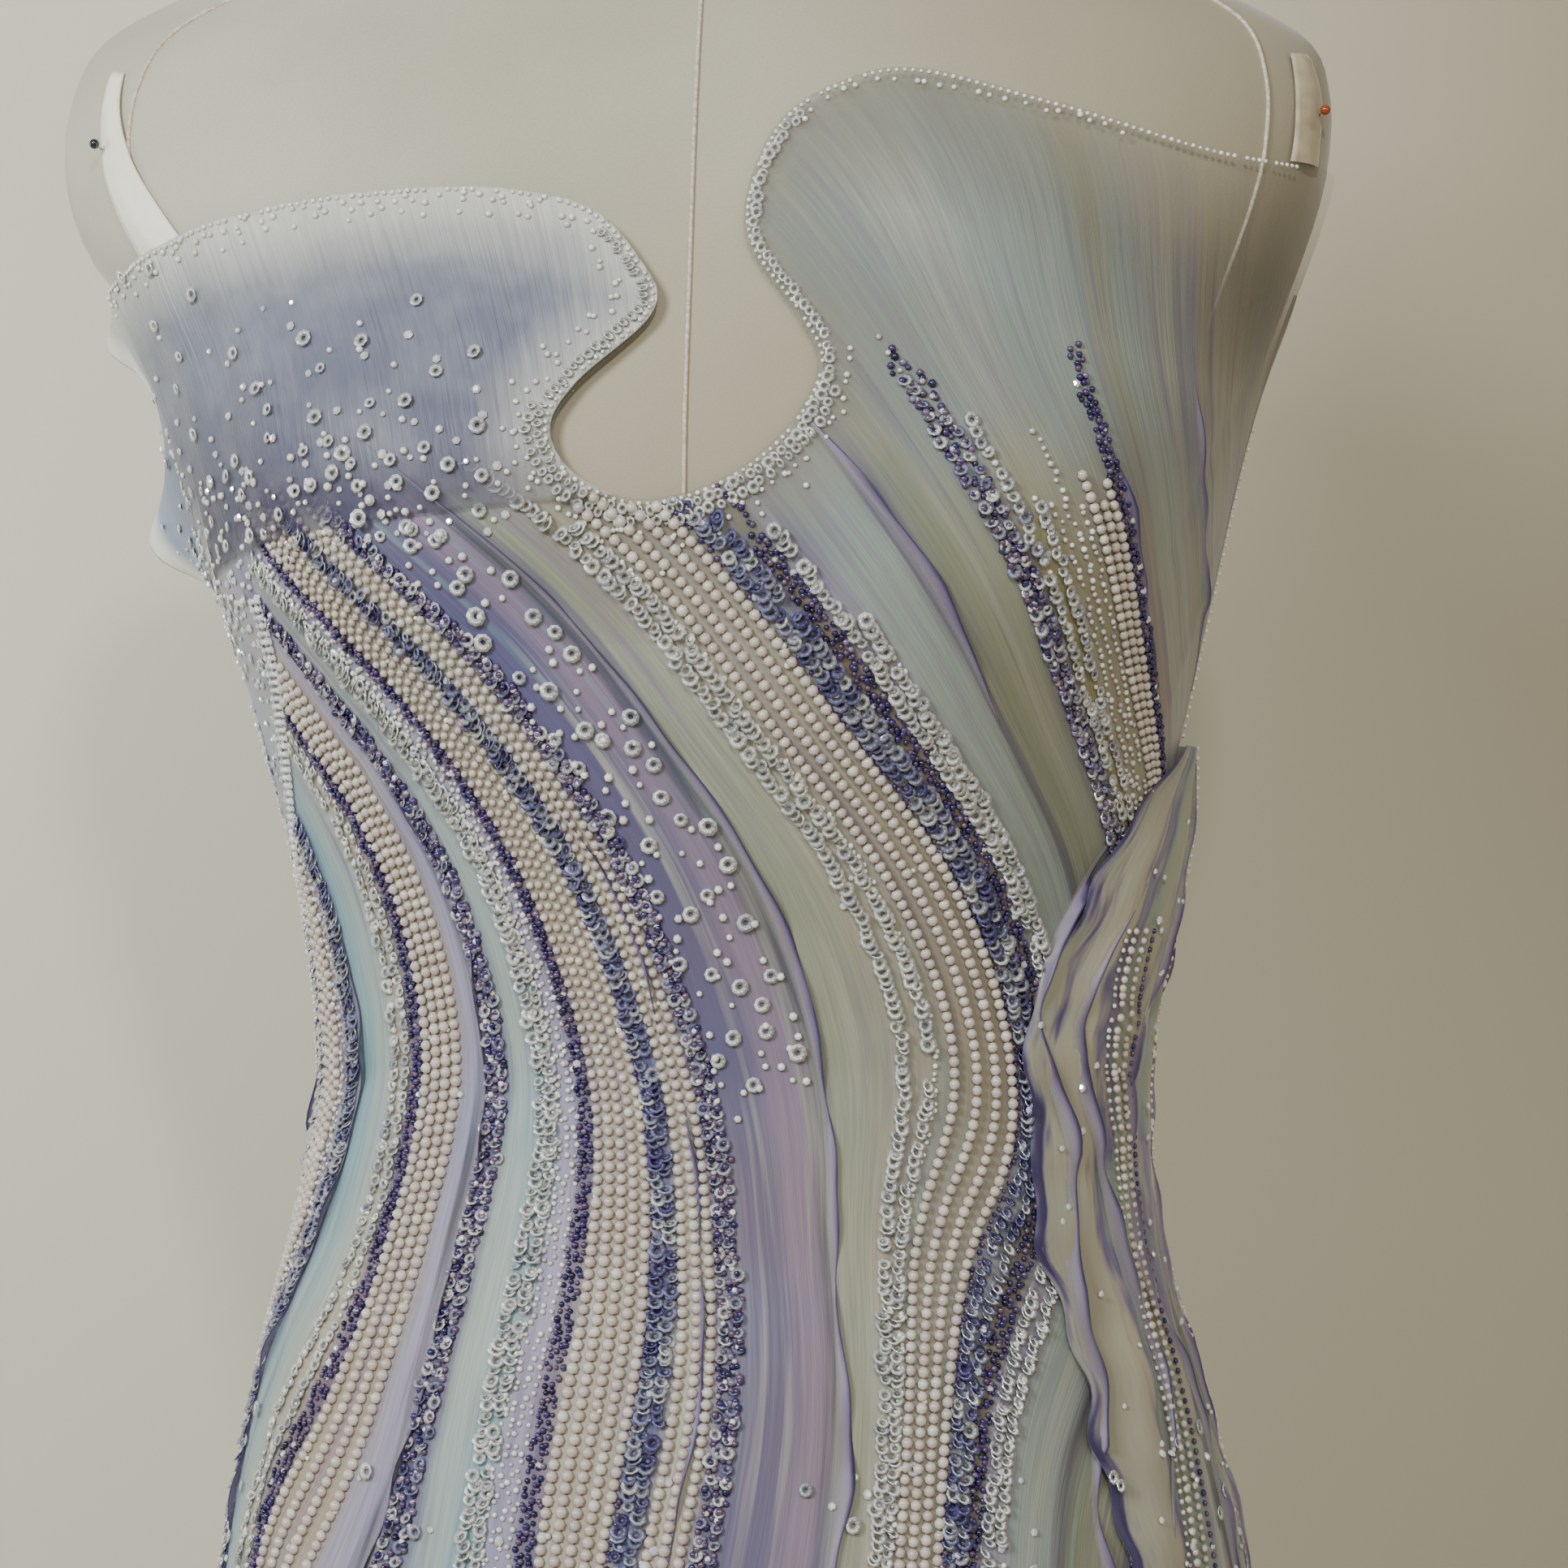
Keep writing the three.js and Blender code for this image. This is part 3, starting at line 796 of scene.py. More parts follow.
def see_through(shader, share):
    """Lets what lies behind show through by a share."""
    clear = shader.node("BsdfTransparent")
    both = shader.node("MixShader", {0: share})
    shader.link(shader.surface.outputs[0], both.inputs[1])
    shader.link(clear.outputs[0], both.inputs[2])
    shader.link(both.outputs[0], shader.output.inputs["Surface"])


def lobe_cloth():
    """Puffed sheer layer: white at its gathered edges, grey lilac and violet lower down."""
    s = Shader("lobe_organza")
    up, across = s.number("up"), s.number("around")
    sweep = s.noise(s.stretched(across, 0.012, up, 3.2), 1, 4, 0.55)
    stops = [
        (0.0, "#463D62"),
        (0.14, "#5E5C78"),
        (0.32, "#666A80"),
        (0.55, "#6F7486"),
        (0.74, "#8E9194"),
        (0.93, "#BABBB2"),
    ]
    colour = s.tints(s.shifted(up, sweep), *stops)
    cloud = s.noise(s.here(), 30, 3, 0.6)
    haze = s.greys(cloud, (0.42, 0.0), (0.72, 0.32))
    colour = s.mix(haze, colour, "#B9BCBB")
    gather = s.noise(s.stretched(across, 0.55, up, 1.6), 1, 3, 0.6)
    reach = s.math("MULTIPLY_ADD", gather, 16.0, s.math("SUBTRACT", s.number("rim"), 8.0))
    white = s.greys(s.math("MULTIPLY", reach, 0.032), (0.0, 0.9), (0.3, 0.5), (0.8, 0.0))
    colour = s.mix(white, colour, "#D3D3C8")
    side = s.number("side")
    frill = s.greys(side, (0.1, 0.85), (0.22, 0.0))
    low = s.greys(up, (0.6, 1.0), (0.85, 0.0))
    colour = s.mix(s.mix(1.0, frill, low, "MULTIPLY"), colour, "#97A8C4")
    # Painted highlight: the cream band along the frill's outer edge is a bright rim of light from the left
    edge = s.greys(side, (0.032, 1.0), (0.07, 0.0))
    colour = s.mix(edge, colour, "#F6F5E6")
    normal = s.bump(gather, 1.8, 0.7, s.weave())
    s.set(Base_Color=colour, Roughness=0.42, Normal=normal)
    s.set(Sheen_Weight=0.3, Sheen_Roughness=0.35)
    clear = s.greys(up, (0.0, 0.75), (0.16, 0.36), (0.45, 0.1))
    inner = s.greys(side, (0.16, 0.0), (0.26, 1.0))
    thin = s.greys(side, (0.05, 0.0), (0.09, 0.1), (0.14, 0.1), (0.2, 0.0))
    see_through(s, s.mix(1.0, s.mix(1.0, clear, inner, "MULTIPLY"), thin, "ADD"))
    return s.material


def drape_cloth():
    """Sheer side layer with darker raw edges."""
    s = Shader("drape_organza")
    across, along = s.number("side"), s.number("along")
    streak = s.noise(s.stretched(across, 9.0, along, 0.016), 1, 3, 0.65)
    stops = [
        (0.0, "#2F2750"),
        (0.02, "#5B4E74"),
        (0.07, "#A3A18F"),
        (0.2, "#B0A98F"),
        (0.27, "#6F6288"),
        (0.32, "#93A08F"),
        (0.44, "#B3AC91"),
        (0.52, "#7D7296"),
        (0.57, "#8FA097"),
        (0.68, "#B1A98D"),
        (0.77, "#857A94"),
        (0.84, "#9AA696"),
        (0.95, "#8D8798"),
    ]
    colour = s.tints(s.shifted(across, streak), *stops)
    normal = s.bump(streak, 1.4, 0.6, s.weave())
    s.set(Base_Color=colour, Roughness=0.45, Normal=normal, Sheen_Weight=0.3)
    see_through(s, s.greys(streak, (0.35, 0.08), (0.65, 0.3)))
    return s.material


def side_net():
    """Grey-lilac net of the panel under the arm."""
    s = Shader("side_net")
    cloud = s.noise(s.here(), 26, 4)
    low = s.tints(cloud, (0.35, "#828198"), (0.55, "#979AA4"), (0.7, "#A9ACAA"))
    across, along = s.number("flow"), s.number("along")
    brush = s.noise(s.stretched(across, 0.4, along, 0.014), 1, 4, 0.6)
    place = s.math("ADD", across, s.math("MULTIPLY_ADD", brush, 9.0, -4.5))
    colour = s.mix(0.3, low, band_colours(s, place, BANDS))
    net = s.node("TexVoronoi", {"Vector": s.here(), "Scale": 900.0}).outputs["Distance"]
    s.set(Base_Color=colour, Roughness=0.5, Normal=s.bump(net, 0.15, 0.4), Sheen_Weight=0.2)
    return s.material


def edge_cloth():
    """Raw organza edges: clear at the foot and dark along the free edge, or pale cream there as a painted
    light rim.
    """
    s = Shader("raw_edge_organza")
    edge = s.number("edge")
    tone = s.noise(s.place(s.math("MULTIPLY", s.number("along"), 0.03), edge), 1, 3)
    place = s.shifted(edge, tone)
    dark = [
        (0.0, "#AFADB0"),
        (0.45, "#A39BA9"),
        (0.78, "#75688A"),
        (0.95, "#2E2650"),
    ]
    # Painted highlight: pale edges turn cream along their free edge, a rim of light from the left
    light = [
        (0.0, "#9C93B4"),
        (0.5, "#8C7FAE"),
        (0.8, "#C9C6D2"),
        (0.95, "#E9E7E0"),
    ]
    colour = s.mix(s.number("pale"), s.tints(place, *dark), s.tints(place, *light))
    s.set(Base_Color=colour, Roughness=0.45, Sheen_Weight=0.3)
    see_through(s, s.greys(edge, (0.0, 0.85), (0.5, 0.5), (0.9, 0.0)))
    return s.material


def bead_paint(name, colours, roughness, metallic=0.0, coat=0.0, film=0.0):
    """Beads whose colour is drawn bead by bead from a few."""
    s = Shader(name)
    last = len(colours) - 1
    colour = s.tints(s.number("tone"), *((i / last, colour) for i, colour in enumerate(colours)))
    s.set(Base_Color=colour, Roughness=roughness, Metallic=metallic, Coat_Weight=coat)
    s.set(Coat_Roughness=0.08)
    if film:
        s.set(Thin_Film_Thickness=film, Thin_Film_IOR=1.45)
    return s.material


def form_cloth():
    """Close woven cover of the dress form."""
    s = Shader("form_cover")
    cloud = s.noise(s.here(), 9, 3)
    colour = s.tints(cloud, (0.35, "#B2AF9A"), (0.65, "#C0BDAA"))
    around, along = s.number("around"), s.number("along")
    thread_x = s.noise(s.place(s.math("MULTIPLY", around, 2.2), along), 1, 2)
    thread_z = s.noise(s.place(around, s.math("MULTIPLY", along, 2.2)), 1, 2)
    threads = s.math("ADD", thread_x, thread_z)
    fleck = s.greys(s.math("MULTIPLY", threads, 0.5), (0.35, 0.44), (0.65, 0.56))
    colour = s.mix(0.5, colour, fleck, "OVERLAY")
    # Painted shade: the cover turns darker and browner towards the right and lower down, below the lobes
    colour = s.mix(s.span(around, -80, 120, 0, 0.85), colour, "#958B74")
    colour = s.mix(s.span(along, 1330, 1240, 0, 0.45), colour, "#958B74")
    s.set(Base_Color=colour, Roughness=0.78, Normal=s.bump(threads, 0.25, 0.3))
    s.set(Sheen_Weight=0.35, Sheen_Roughness=0.4, Specular_IOR_Level=0.25)
    return s.material


def strap_cloth(name, low, high):
    s = Shader(name)
    streak = s.noise(s.place(s.math("MULTIPLY", s.number("around"), 0.5), s.number("along")), 0.12, 3)
    colour = s.tints(streak, (0.3, low), (0.7, high))
    s.set(Base_Color=colour, Roughness=0.4, Normal=s.bump(streak, 0.5, 0.4))
    s.set(Sheen_Weight=0.3, Sheen_Roughness=0.35)
    return s.material


def turned_wood():
    s = Shader("cap_walnut")
    rings = s.noise(s.here(), 60, 5)
    colour = s.tints(rings, (0.3, "#6B4A2F"), (0.55, "#8F6A47"), (0.7, "#A07C56"))
    s.set(Base_Color=colour, Roughness=0.35, Coat_Weight=0.3, Normal=s.bump(rings, 0.1, 0.3))
    return s.material


def pole_metal():
    s = Shader("pole_chrome")
    brushed = s.noise(s.here(), 300, 2)
    s.set(Base_Color=s.greys(brushed, (0.3, 0.62), (0.7, 0.72)))
    s.set(Metallic=1.0, Roughness=s.math("MULTIPLY_ADD", brushed, 0.1, 0.12))
    return s.material


def base_metal():
    s = Shader("base_iron")
    grain = s.noise(s.here(), 420, 4, 0.6)
    s.set(Base_Color=s.tints(grain, (0.3, "#1F1F20"), (0.7, "#34332F")))
    s.set(Metallic=0.5, Roughness=s.math("MULTIPLY_ADD", grain, 0.25, 0.35))
    s.set(Normal=s.bump(grain, 0.2, 0.4))
    return s.material


def wall_paint():
    s = Shader("wall_paint")
    cloud = s.noise(s.here(), 1.5, 2)
    colour = s.tints(cloud, (0.3, "#D2CEBA"), (0.7, "#D8D4C1"))
    place = s.node("SeparateXYZ", {0: s.here()}).outputs
    # Painted shade: the wall turns darker and warmer towards the right, most of all higher up, away from
    # the light on the left
    share = s.math("MULTIPLY", s.span(place[0], 0.05, 0.45), s.span(place[2], 0.95, 1.4, 0.42))
    colour = s.mix(share, colour, "#A0947A")
    s.set(Base_Color=colour, Roughness=0.85)
    see_through(s, s.node("NewGeometry").outputs["Backfacing"])
    return s.material


# Cloth pieces


def finish_piece(obj, material, nodes=()):
    obj.data.materials.clear()
    obj.data.materials.append(material)
    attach(obj, "root")
    if nodes:
        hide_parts(*nodes)


def heights(bodice_step, skirt_step, top=TOP_Z):
    skirt = np.linspace(HEM_Z, HIP_Z, int((HIP_Z - HEM_Z) / skirt_step) + 1)
    bodice = np.linspace(HIP_Z, top, int((top - HIP_Z) / bodice_step) + 1)
    return np.concatenate([skirt, bodice[1:]])


def seam(name, z):
    """The angle of a seam, or of the opening down the centre back."""
    if name in CENTRE_BACK:
        return CENTRE_BACK[name] + 0 * z
    return np.radians(read(SEAMS, name, z))


CENTRE_BACK = {"centre_left": -math.pi, "centre_right": math.pi}
SIDE_TOP_Z = 1310
WALL = 1.1
SHEER_WALL = 0.5
SHEER_REST = 0.8


def patch(columns, rows, across=(0, 1), up=(0, 1)):
    """Two grids of the places of a patch's points, across it and up it."""
    return np.meshgrid(np.linspace(*across, columns + 1), np.linspace(*up, rows + 1))


def put_patch(name, points):
    """A sheet from a grid of points, with columns that run round and rows that run up."""
    rows, columns = points.shape[:2]
    return put_mesh(name, points.reshape(-1, 3), grid(rows - 1, columns - 1))


def gown_panel(name, left, right, columns, rows, cut, material):
    """A gown panel between two seams, trimmed along its top edge."""
    z = rows[:, None]
    from_edge = seam(left, z) + SEAM_GAP / 2 / WAIST_RADIUS
    to_edge = seam(right, z) - SEAM_GAP / 2 / WAIST_RADIUS
    angle = from_edge + (to_edge - from_edge) * np.linspace(0, 1, columns + 1)
    z = np.broadcast_to(z, angle.shape)
    obj = put_patch(name + "_cloth", offset(angle, z, 0.0 * z))
    trim(obj, cut(angle.ravel(), z.ravel()))
    thicken(obj, WALL)
    mark(obj, *PLACES)
    finish_piece(obj, material, [name])


def over_neckline(angle, z):
    points = gown(angle, z)
    return above_neckline(points[:, 0], points[:, 2])


def over_armhole(angle, z):
    return z - read(ARMHOLE, "z", np.degrees(angle), "angle")


def make_panels():
    front_paint = painted_cloth("painted_organza_front", sheer=True)
    paint = painted_cloth("painted_organza")
    back_paint = painted_cloth("painted_organza_back", 0.2)
    fine, plain = heights(4.5, 16), heights(7.5, 18, SIDE_TOP_Z)
    gown_panel("front_panel", "left_front", "right_front", 112, fine, over_neckline, front_paint)
    panels = [
        ("side_panel_left", "left_back", "left_front", 24, side_net()),
        ("side_panel_right", "right_front", "right_back", 22, paint),
        ("back_panel_left", "centre_left", "left_back", 40, back_paint),
        ("back_panel_right", "right_back", "centre_right", 40, back_paint),
    ]
    for name, left, right, columns, material in panels:
        gown_panel(name, left, right, columns, plain, over_armhole, material)


# How far the frill at the puffed layer's side stands out, from its foot up
FRILL = table(("up", "out"), [
    (0, 1),
    (0.07, 6),
    (0.15, 17),
    (0.23, 26),
    (0.29, 28.5),
    (0.38, 24),
    (0.47, 15),
    (0.57, 8),
    (0.67, 5.5),
    (0.82, 10),
    (0.97, 17.5),
    (1, 19),
])
FRILL_ANGLE = -98
FRILL_SHARE = 0.2
LOBE_ANGLE = -4
LOBE_END = 1.03
LOBE_FOOT = (1206, 1230)  # height at the frill and at the keyhole
LOBE_TOP = (1303, 1340)


def lobe_lift(share, up):
    """How far the puffed layer stands off the panel, with its gathers and side frill."""
    swell = np.sin(np.pi * share)
    middle = swell * np.sin(np.pi * up)
    edge = np.maximum(0, 1 - share / FRILL_SHARE) ** 1.5
    gather = 1.1 * middle * np.cos(2 * np.pi * 7 * share)
    top = smoothstep(up, 0.62, 0.97)
    fine = 0.55 * top * np.sin(2 * np.pi * (31 * share + 0.8 * np.sin(9 * share))) * swell
    flute = edge * (0.9 * np.sin(17 * up + 2) + 0.5 * np.sin(41 * up))
    return LIFT + 5 * middle + gather + fine + edge * read(FRILL, "out", up, "up") + flute


def lobe_ends(share):
    """Heights of the puffed layer's lower and upper edge."""
    foot = LOBE_FOOT[0] + (LOBE_FOOT[1] - LOBE_FOOT[0]) * share
    return foot, LOBE_TOP[0] + (LOBE_TOP[1] - LOBE_TOP[0]) * smoothstep(share, 0, 0.25)


def lobe_place(share, up):
    angle = np.radians(FRILL_ANGLE + (LOBE_ANGLE - FRILL_ANGLE) * share)
    bottom, top = lobe_ends(share)
    return angle, bottom + (top - bottom) * up


def make_lobe():
    share, up = patch(120, 56, (0, LOBE_END))
    angle, z = lobe_place(share, up)
    waver = np.maximum(0, 1 - share / FRILL_SHARE) ** 2 * np.sin(9 * up + 1)
    angle = angle + np.radians(2.2) * waver
    obj = put_patch("lobe_layer", offset(angle, z, lobe_lift(np.minimum(share, 1), up) + SHEER_REST))
    set_numbers(obj, "up", up)
    set_numbers(obj, "side", share)
    trim(obj, over_neckline(angle.ravel(), z.ravel()))
    thicken(obj, SHEER_WALL)
    mark(obj, "around", "rim")
    finish_piece(obj, lobe_cloth(), ["lobe_overlay"])


# The side drape from its foot up: the angles of its two edges, and how far it swells out
DRAPE = table(("up", "front", "back", "out"), [
    (0, 51, 97, 1),
    (0.2, 50, 99, 4),
    (0.4, 51, 101, 3),
    (0.55, 48, 102, 1),
    (0.7, 47, 103, 5),
    (0.82, 50, 103, 9),
    (0.92, 62, 102, 8),
    (1, 79, 99, 3),
])
DRAPE_LOW = 780
DRAPE_HIGH = 1158


def drape_up(z):
    return (z - DRAPE_LOW) / (DRAPE_HIGH - DRAPE_LOW)


def drape_angle(share, up):
    """The angle round the body at a share of the side drape's width and height."""
    front, back = read(DRAPE, "front", up, "up"), read(DRAPE, "back", up, "up")
    return np.radians(front + (back - front) * share)


def make_drape():
    share, up = patch(34, 120)
    wave = 1.1 * np.sin(38 * up + 1) + 0.7 * np.sin(83 * up)
    angle = drape_angle(share, up) + np.radians(wave * (1 - share) ** 3)
    z = DRAPE_LOW + (DRAPE_HIGH - DRAPE_LOW) * up
    z = z + (1 - up) ** 5 * (34 * share**2 + 5 * np.sin(7 * share + 1) + 5)
    edge = (1 - share) ** 4 + share**6
    flutes = edge * (1.2 + np.sin(44 * up + 0.5) + 0.6 * np.sin(97 * up))
    lift = LIFT + read(DRAPE, "out", up, "up") * np.sin(np.pi * share) + flutes
    ripple = 1.3 * np.sin(2 * np.pi * (4.4 * share + 0.7 * np.sin(6 * up))) * np.sin(np.pi * share)
    obj = put_patch("drape_layer", offset(angle, z, lift + ripple + SHEER_REST))
    set_numbers(obj, "side", share)
    set_numbers(obj, "along", z)
    thicken(obj, SHEER_WALL)
    finish_piece(obj, drape_cloth(), ["side_drape"])


def make_strap(name, foot, tip, material):
    """A strap end on the form. foot and tip are (height, angle, width in degrees)."""
    share, up = patch(8, 34, (-0.5, 0.5))
    z, angle, width = (low + (high - low) * up for low, high in zip(foot, tip))
    angle = np.radians(angle + width * share)
    rest = LIFT - CLOTH - EASE + 1.1
    roll = 0.5 * np.cos(2 * np.pi * share) + 0.3 * np.sin(9 * up + 3 * share)
    obj = put_patch(name + "_cloth", offset(angle, z, rest + roll, False))
    points = gown(angle.ravel(), z.ravel(), False)
    trim(obj, 0.6 - above_neckline(points[:, 0], points[:, 2]))
    thicken(obj, 0.7)
    mark(obj, "around", "along")
    finish_piece(obj, material, [name])


PLACKET_HEIGHTS = (905, 1246)
PLACKET_HALF = 10


def make_placket():
    share, z = patch(8, 80, (-1, 1), PLACKET_HEIGHTS)
    angle = math.pi + share * PLACKET_HALF / read(SECTIONS, "back", z)
    lift = LIFT + 0.9 + 0.25 * np.cos(np.pi * share) + 0.15 * np.sin(z / 9)
    obj = put_patch("placket_cloth", offset(angle, z, lift))
    thicken(obj, 0.9)
    mark(obj, *PLACES)
    finish_piece(obj, painted_cloth("painted_placket", 0.25), ["back_placket"])


# The dress form


def inside(angle, z, distance):
    """Points inside the gown's face by a distance, kept at their own height."""
    face, n = gown(angle, z, False), normals(angle, z, False)
    level = np.hypot(n[..., 0], n[..., 1])[..., None]
    away = np.concatenate([n[..., :2] / level, np.zeros_like(level)], -1)
    return face - away * np.asarray(distance)[..., None] / np.maximum(level, 0.4)


def ring_faces(sides, rings, closed=False):
    """Triangles between rings of points, each ring with the same number of sides."""
    index = np.arange(sides)
    nxt = (index + 1) % sides
    faces = []
    for r in range(rings if closed else rings - 1):
        a, b = r * sides, ((r + 1) % rings) * sides
        faces += [np.stack([a + index, a + nxt, b + nxt], 1), np.stack([a + index, b + nxt, b + index], 1)]
    return faces


def put_turned(name, points, sides, low, high):
    """A closed piece of rings round the Z axis, with fans to its lowest and its highest point."""
    count = len(points)
    faces = ring_faces(sides, count // sides)
    index = np.arange(sides)
    nxt = (index + 1) % sides
    last = count - sides
    faces.append(np.stack([0 * index + count, nxt, index], 1))
    faces.append(np.stack([0 * index + count + 1, last + index, last + nxt], 1))
    points = np.concatenate([points, [(0, 0, low), (0, 0, high)]])
    return put_mesh(name, points, np.concatenate(faces))


SHOULDER_Z = 1360
FULLEST = 11
FULL_ANGLE = -98
FULL_WIDTH = 18

# The cover's seams, by their angle and where they come out of the gown
FORM_SEAMS = {0: 1222, 58: 1250, -58: 1290, 122: 1256, -122: 1256, 180: 1242}


def fullness(angle, z):
    """How far the cover stands out at the left shoulder, where it is padded fuller."""
    near = np.exp(-(((np.degrees(angle) - FULL_ANGLE) / FULL_WIDTH) ** 2))
    return FULLEST * near * smoothstep(z, 1288, 1325) * (1 - smoothstep(z, 1402, 1440))


def make_form():
    columns = 132
    below = np.linspace(FORM_BOTTOM_Z, SHOULDER_Z, 72)
    rows = np.concatenate([below, np.linspace(SHOULDER_Z + 6, NECK_TOP_Z, 34)])
    tuck = 10 * smoothstep(HIP_Z - rows, 0, HIP_Z - FORM_BOTTOM_Z)
    angle = np.linspace(-math.pi, math.pi, columns, endpoint=False)
    a, z = np.meshgrid(angle, rows)
    furrow = np.zeros_like(a)
    for line in FORM_SEAMS:
        away = np.angle(np.exp(1j * (a - math.radians(line)))) * AROUND
        furrow += 0.35 * np.exp(-((away / 2.2) ** 2))
    depth = CLOTH + EASE + 0.2 + furrow + tuck[:, None] - fullness(a, z)
    points = inside(a, z, depth).reshape(-1, 3)
    obj = put_turned("form_cover", points, columns, FORM_BOTTOM_Z, NECK_TOP_Z)
    mark(obj, "around", "along")
    finish_piece(obj, form_cloth(), ["form_torso"])


def tube_along(points, radius, sides=6):
    """A closed tube through points in millimetres."""
    points = np.asarray(points, float)
    tangent = np.gradient(points, axis=0)
    tangent /= np.linalg.norm(tangent, axis=1, keepdims=True)
    side = np.cross(tangent, (0.31, 0.87, 0.38))
    side /= np.linalg.norm(side, axis=1, keepdims=True)
    other = np.cross(tangent, side)
    turn = np.linspace(0, 2 * np.pi, sides, endpoint=False)
    ring = radius * (np.cos(turn)[:, None, None] * side + np.sin(turn)[:, None, None] * other)
    mesh = (points + ring).transpose(1, 0, 2).reshape(-1, 3)
    faces = ring_faces(sides, len(points))
    end = (len(points) - 1) * sides
    for i in range(1, sides - 1):
        faces.append(np.array([[0, i + 1, i], [end, end + i, end + i + 1]]))
    return mesh, np.concatenate(faces)


def join(parts):
    """Points and faces of several meshes as one."""
    points, faces, count = [], [], 0
    for p, f in parts:
        points.append(p)
        faces.append(f + count)
        count += len(p)
    return np.concatenate(points), np.concatenate(faces)


def make_form_seams():
    """Sewn seam ridges of the form's cover, where they show above the gown."""
    parts = []
    for angle, low in FORM_SEAMS.items():
        z = np.linspace(low, NECK_TOP_Z - 3, 90)
        turn = np.full_like(z, math.radians(angle))
        line = inside(turn, z, CLOTH + EASE + 0.1 - fullness(turn, z))
        parts.append(tube_along(line, 0.7))
    points, faces = join(parts)
    obj = put_mesh("form_seams", points, faces)
    s = Shader("form_thread")
    twist = s.noise(s.here(), 900, 2)
    s.set(Base_Color=s.tints(twist, (0.3, "#AFA48E"), (0.7, "#DDD5C4")), Roughness=0.7)
    finish_piece(obj, s.material)


def turned(name, profile, sides=72):
    """A turned piece about the Z axis, from (radius, height) pairs, which start and end on it."""
    turn = np.linspace(0, 2 * np.pi, sides, endpoint=False)
    rings = [(r * np.cos(turn), r * np.sin(turn), 0 * turn + z) for r, z in profile[1:-1]]
    points = np.concatenate([np.stack(ring, 1) for ring in rings])
    obj = put_turned(name, points, sides, profile[0][1], profile[-1][1])
    obj.data.set_sharp_from_angle(angle=math.radians(35))
    return obj


def rounded(profile, radius):
    """The profile with its corners cut to short arcs."""
    out = [profile[0]]
    for before, here, after in zip(profile, profile[1:], profile[2:]):
        h = np.array(here, float)
        to_before, to_after = np.array(before) - h, np.array(after) - h
        cut = min(radius, np.linalg.norm(to_before) / 3, np.linalg.norm(to_after) / 3)
        a = h + to_before / np.linalg.norm(to_before) * cut
        b = h + to_after / np.linalg.norm(to_after) * cut
        for t in (0, 0.33, 0.67, 1):
            out.append(tuple((1 - t) ** 2 * a + 2 * t * (1 - t) * h + t * t * b))
    out.append(profile[-1])
    return out


def make_stand():
    low = NECK_TOP_Z + SEAM_GAP
    cap = [(0, low), (50, low), (52, low + 3), (48, low + 8), (14, low + 11), (10, low + 15)]
    cap += [(15, low + 20), (11, low + 26), (0, low + 28)]
    finish_piece(turned("neck_cap", rounded(cap, 2.5)), turned_wood(), ["form_neck_cap"])
    foot, top = 46 + SEAM_GAP, FORM_BOTTOM_Z - SEAM_GAP
    steps = [(0, foot), (13.6, foot), (13.6, 600), (14, 602), (14, top), (0, top)]
    finish_piece(turned("pole", rounded(steps, 0.8)), pole_metal(), ["form_pole"])
    base = [(0, 0), (187, 0), (190, 3), (190, 9), (187, 12), (35, 14), (19, 20), (19, 46), (0, 46)]
    finish_piece(turned("base", rounded(base, 2), 120), base_metal(), ["form_base"])


# Beads


def ring_of(sides, profile):
    """Points of rings of (radius, height) round the Z axis."""
    turn = np.arange(sides) * 2 * np.pi / sides
    c, s = np.cos(turn), np.sin(turn)
    return np.concatenate([np.stack([r * c, r * s, 0 * turn + h], 1) for r, h in profile])


def bead(sides, profile, top=None):
    """A closed bead of rings: flat below, and with a pole at the top or a flat top."""
    points = ring_of(sides, profile)
    faces = ring_faces(sides, len(profile))
    last = len(points) - sides
    index = np.arange(sides)
    if top is None:
        faces.append(np.array([(last, last + i, last + i + 1) for i in range(1, sides - 1)]))
    else:
        faces.append(np.stack([last + index, last + (index + 1) % sides, 0 * index + len(points)], 1))
        points = np.concatenate([points, [(0, 0, top)]])
    faces.append(np.array([(0, i + 1, i) for i in range(1, sides - 1)]))
    return points, np.concatenate(faces)


# Beads of radius 1, as sides and rings of (radius, height). The sequin's rings go round its hole.
PEARL = bead(7, [(0.92, -0.25), (1.0, 0.25), (0.6, 0.82)], 0.98)
SEED = bead(6, [(1.0, -0.1), (0.68, 0.66)], 0.86)
STONE = bead(6, [(0.95, -0.1), (1.0, 0.15), (0.55, 0.6)])
SEQUIN = (ring_of(8, [(1.0, 0.27), (0.3, 0.12), (0.68, 0.0)]), np.concatenate(ring_faces(8, 3, True)))


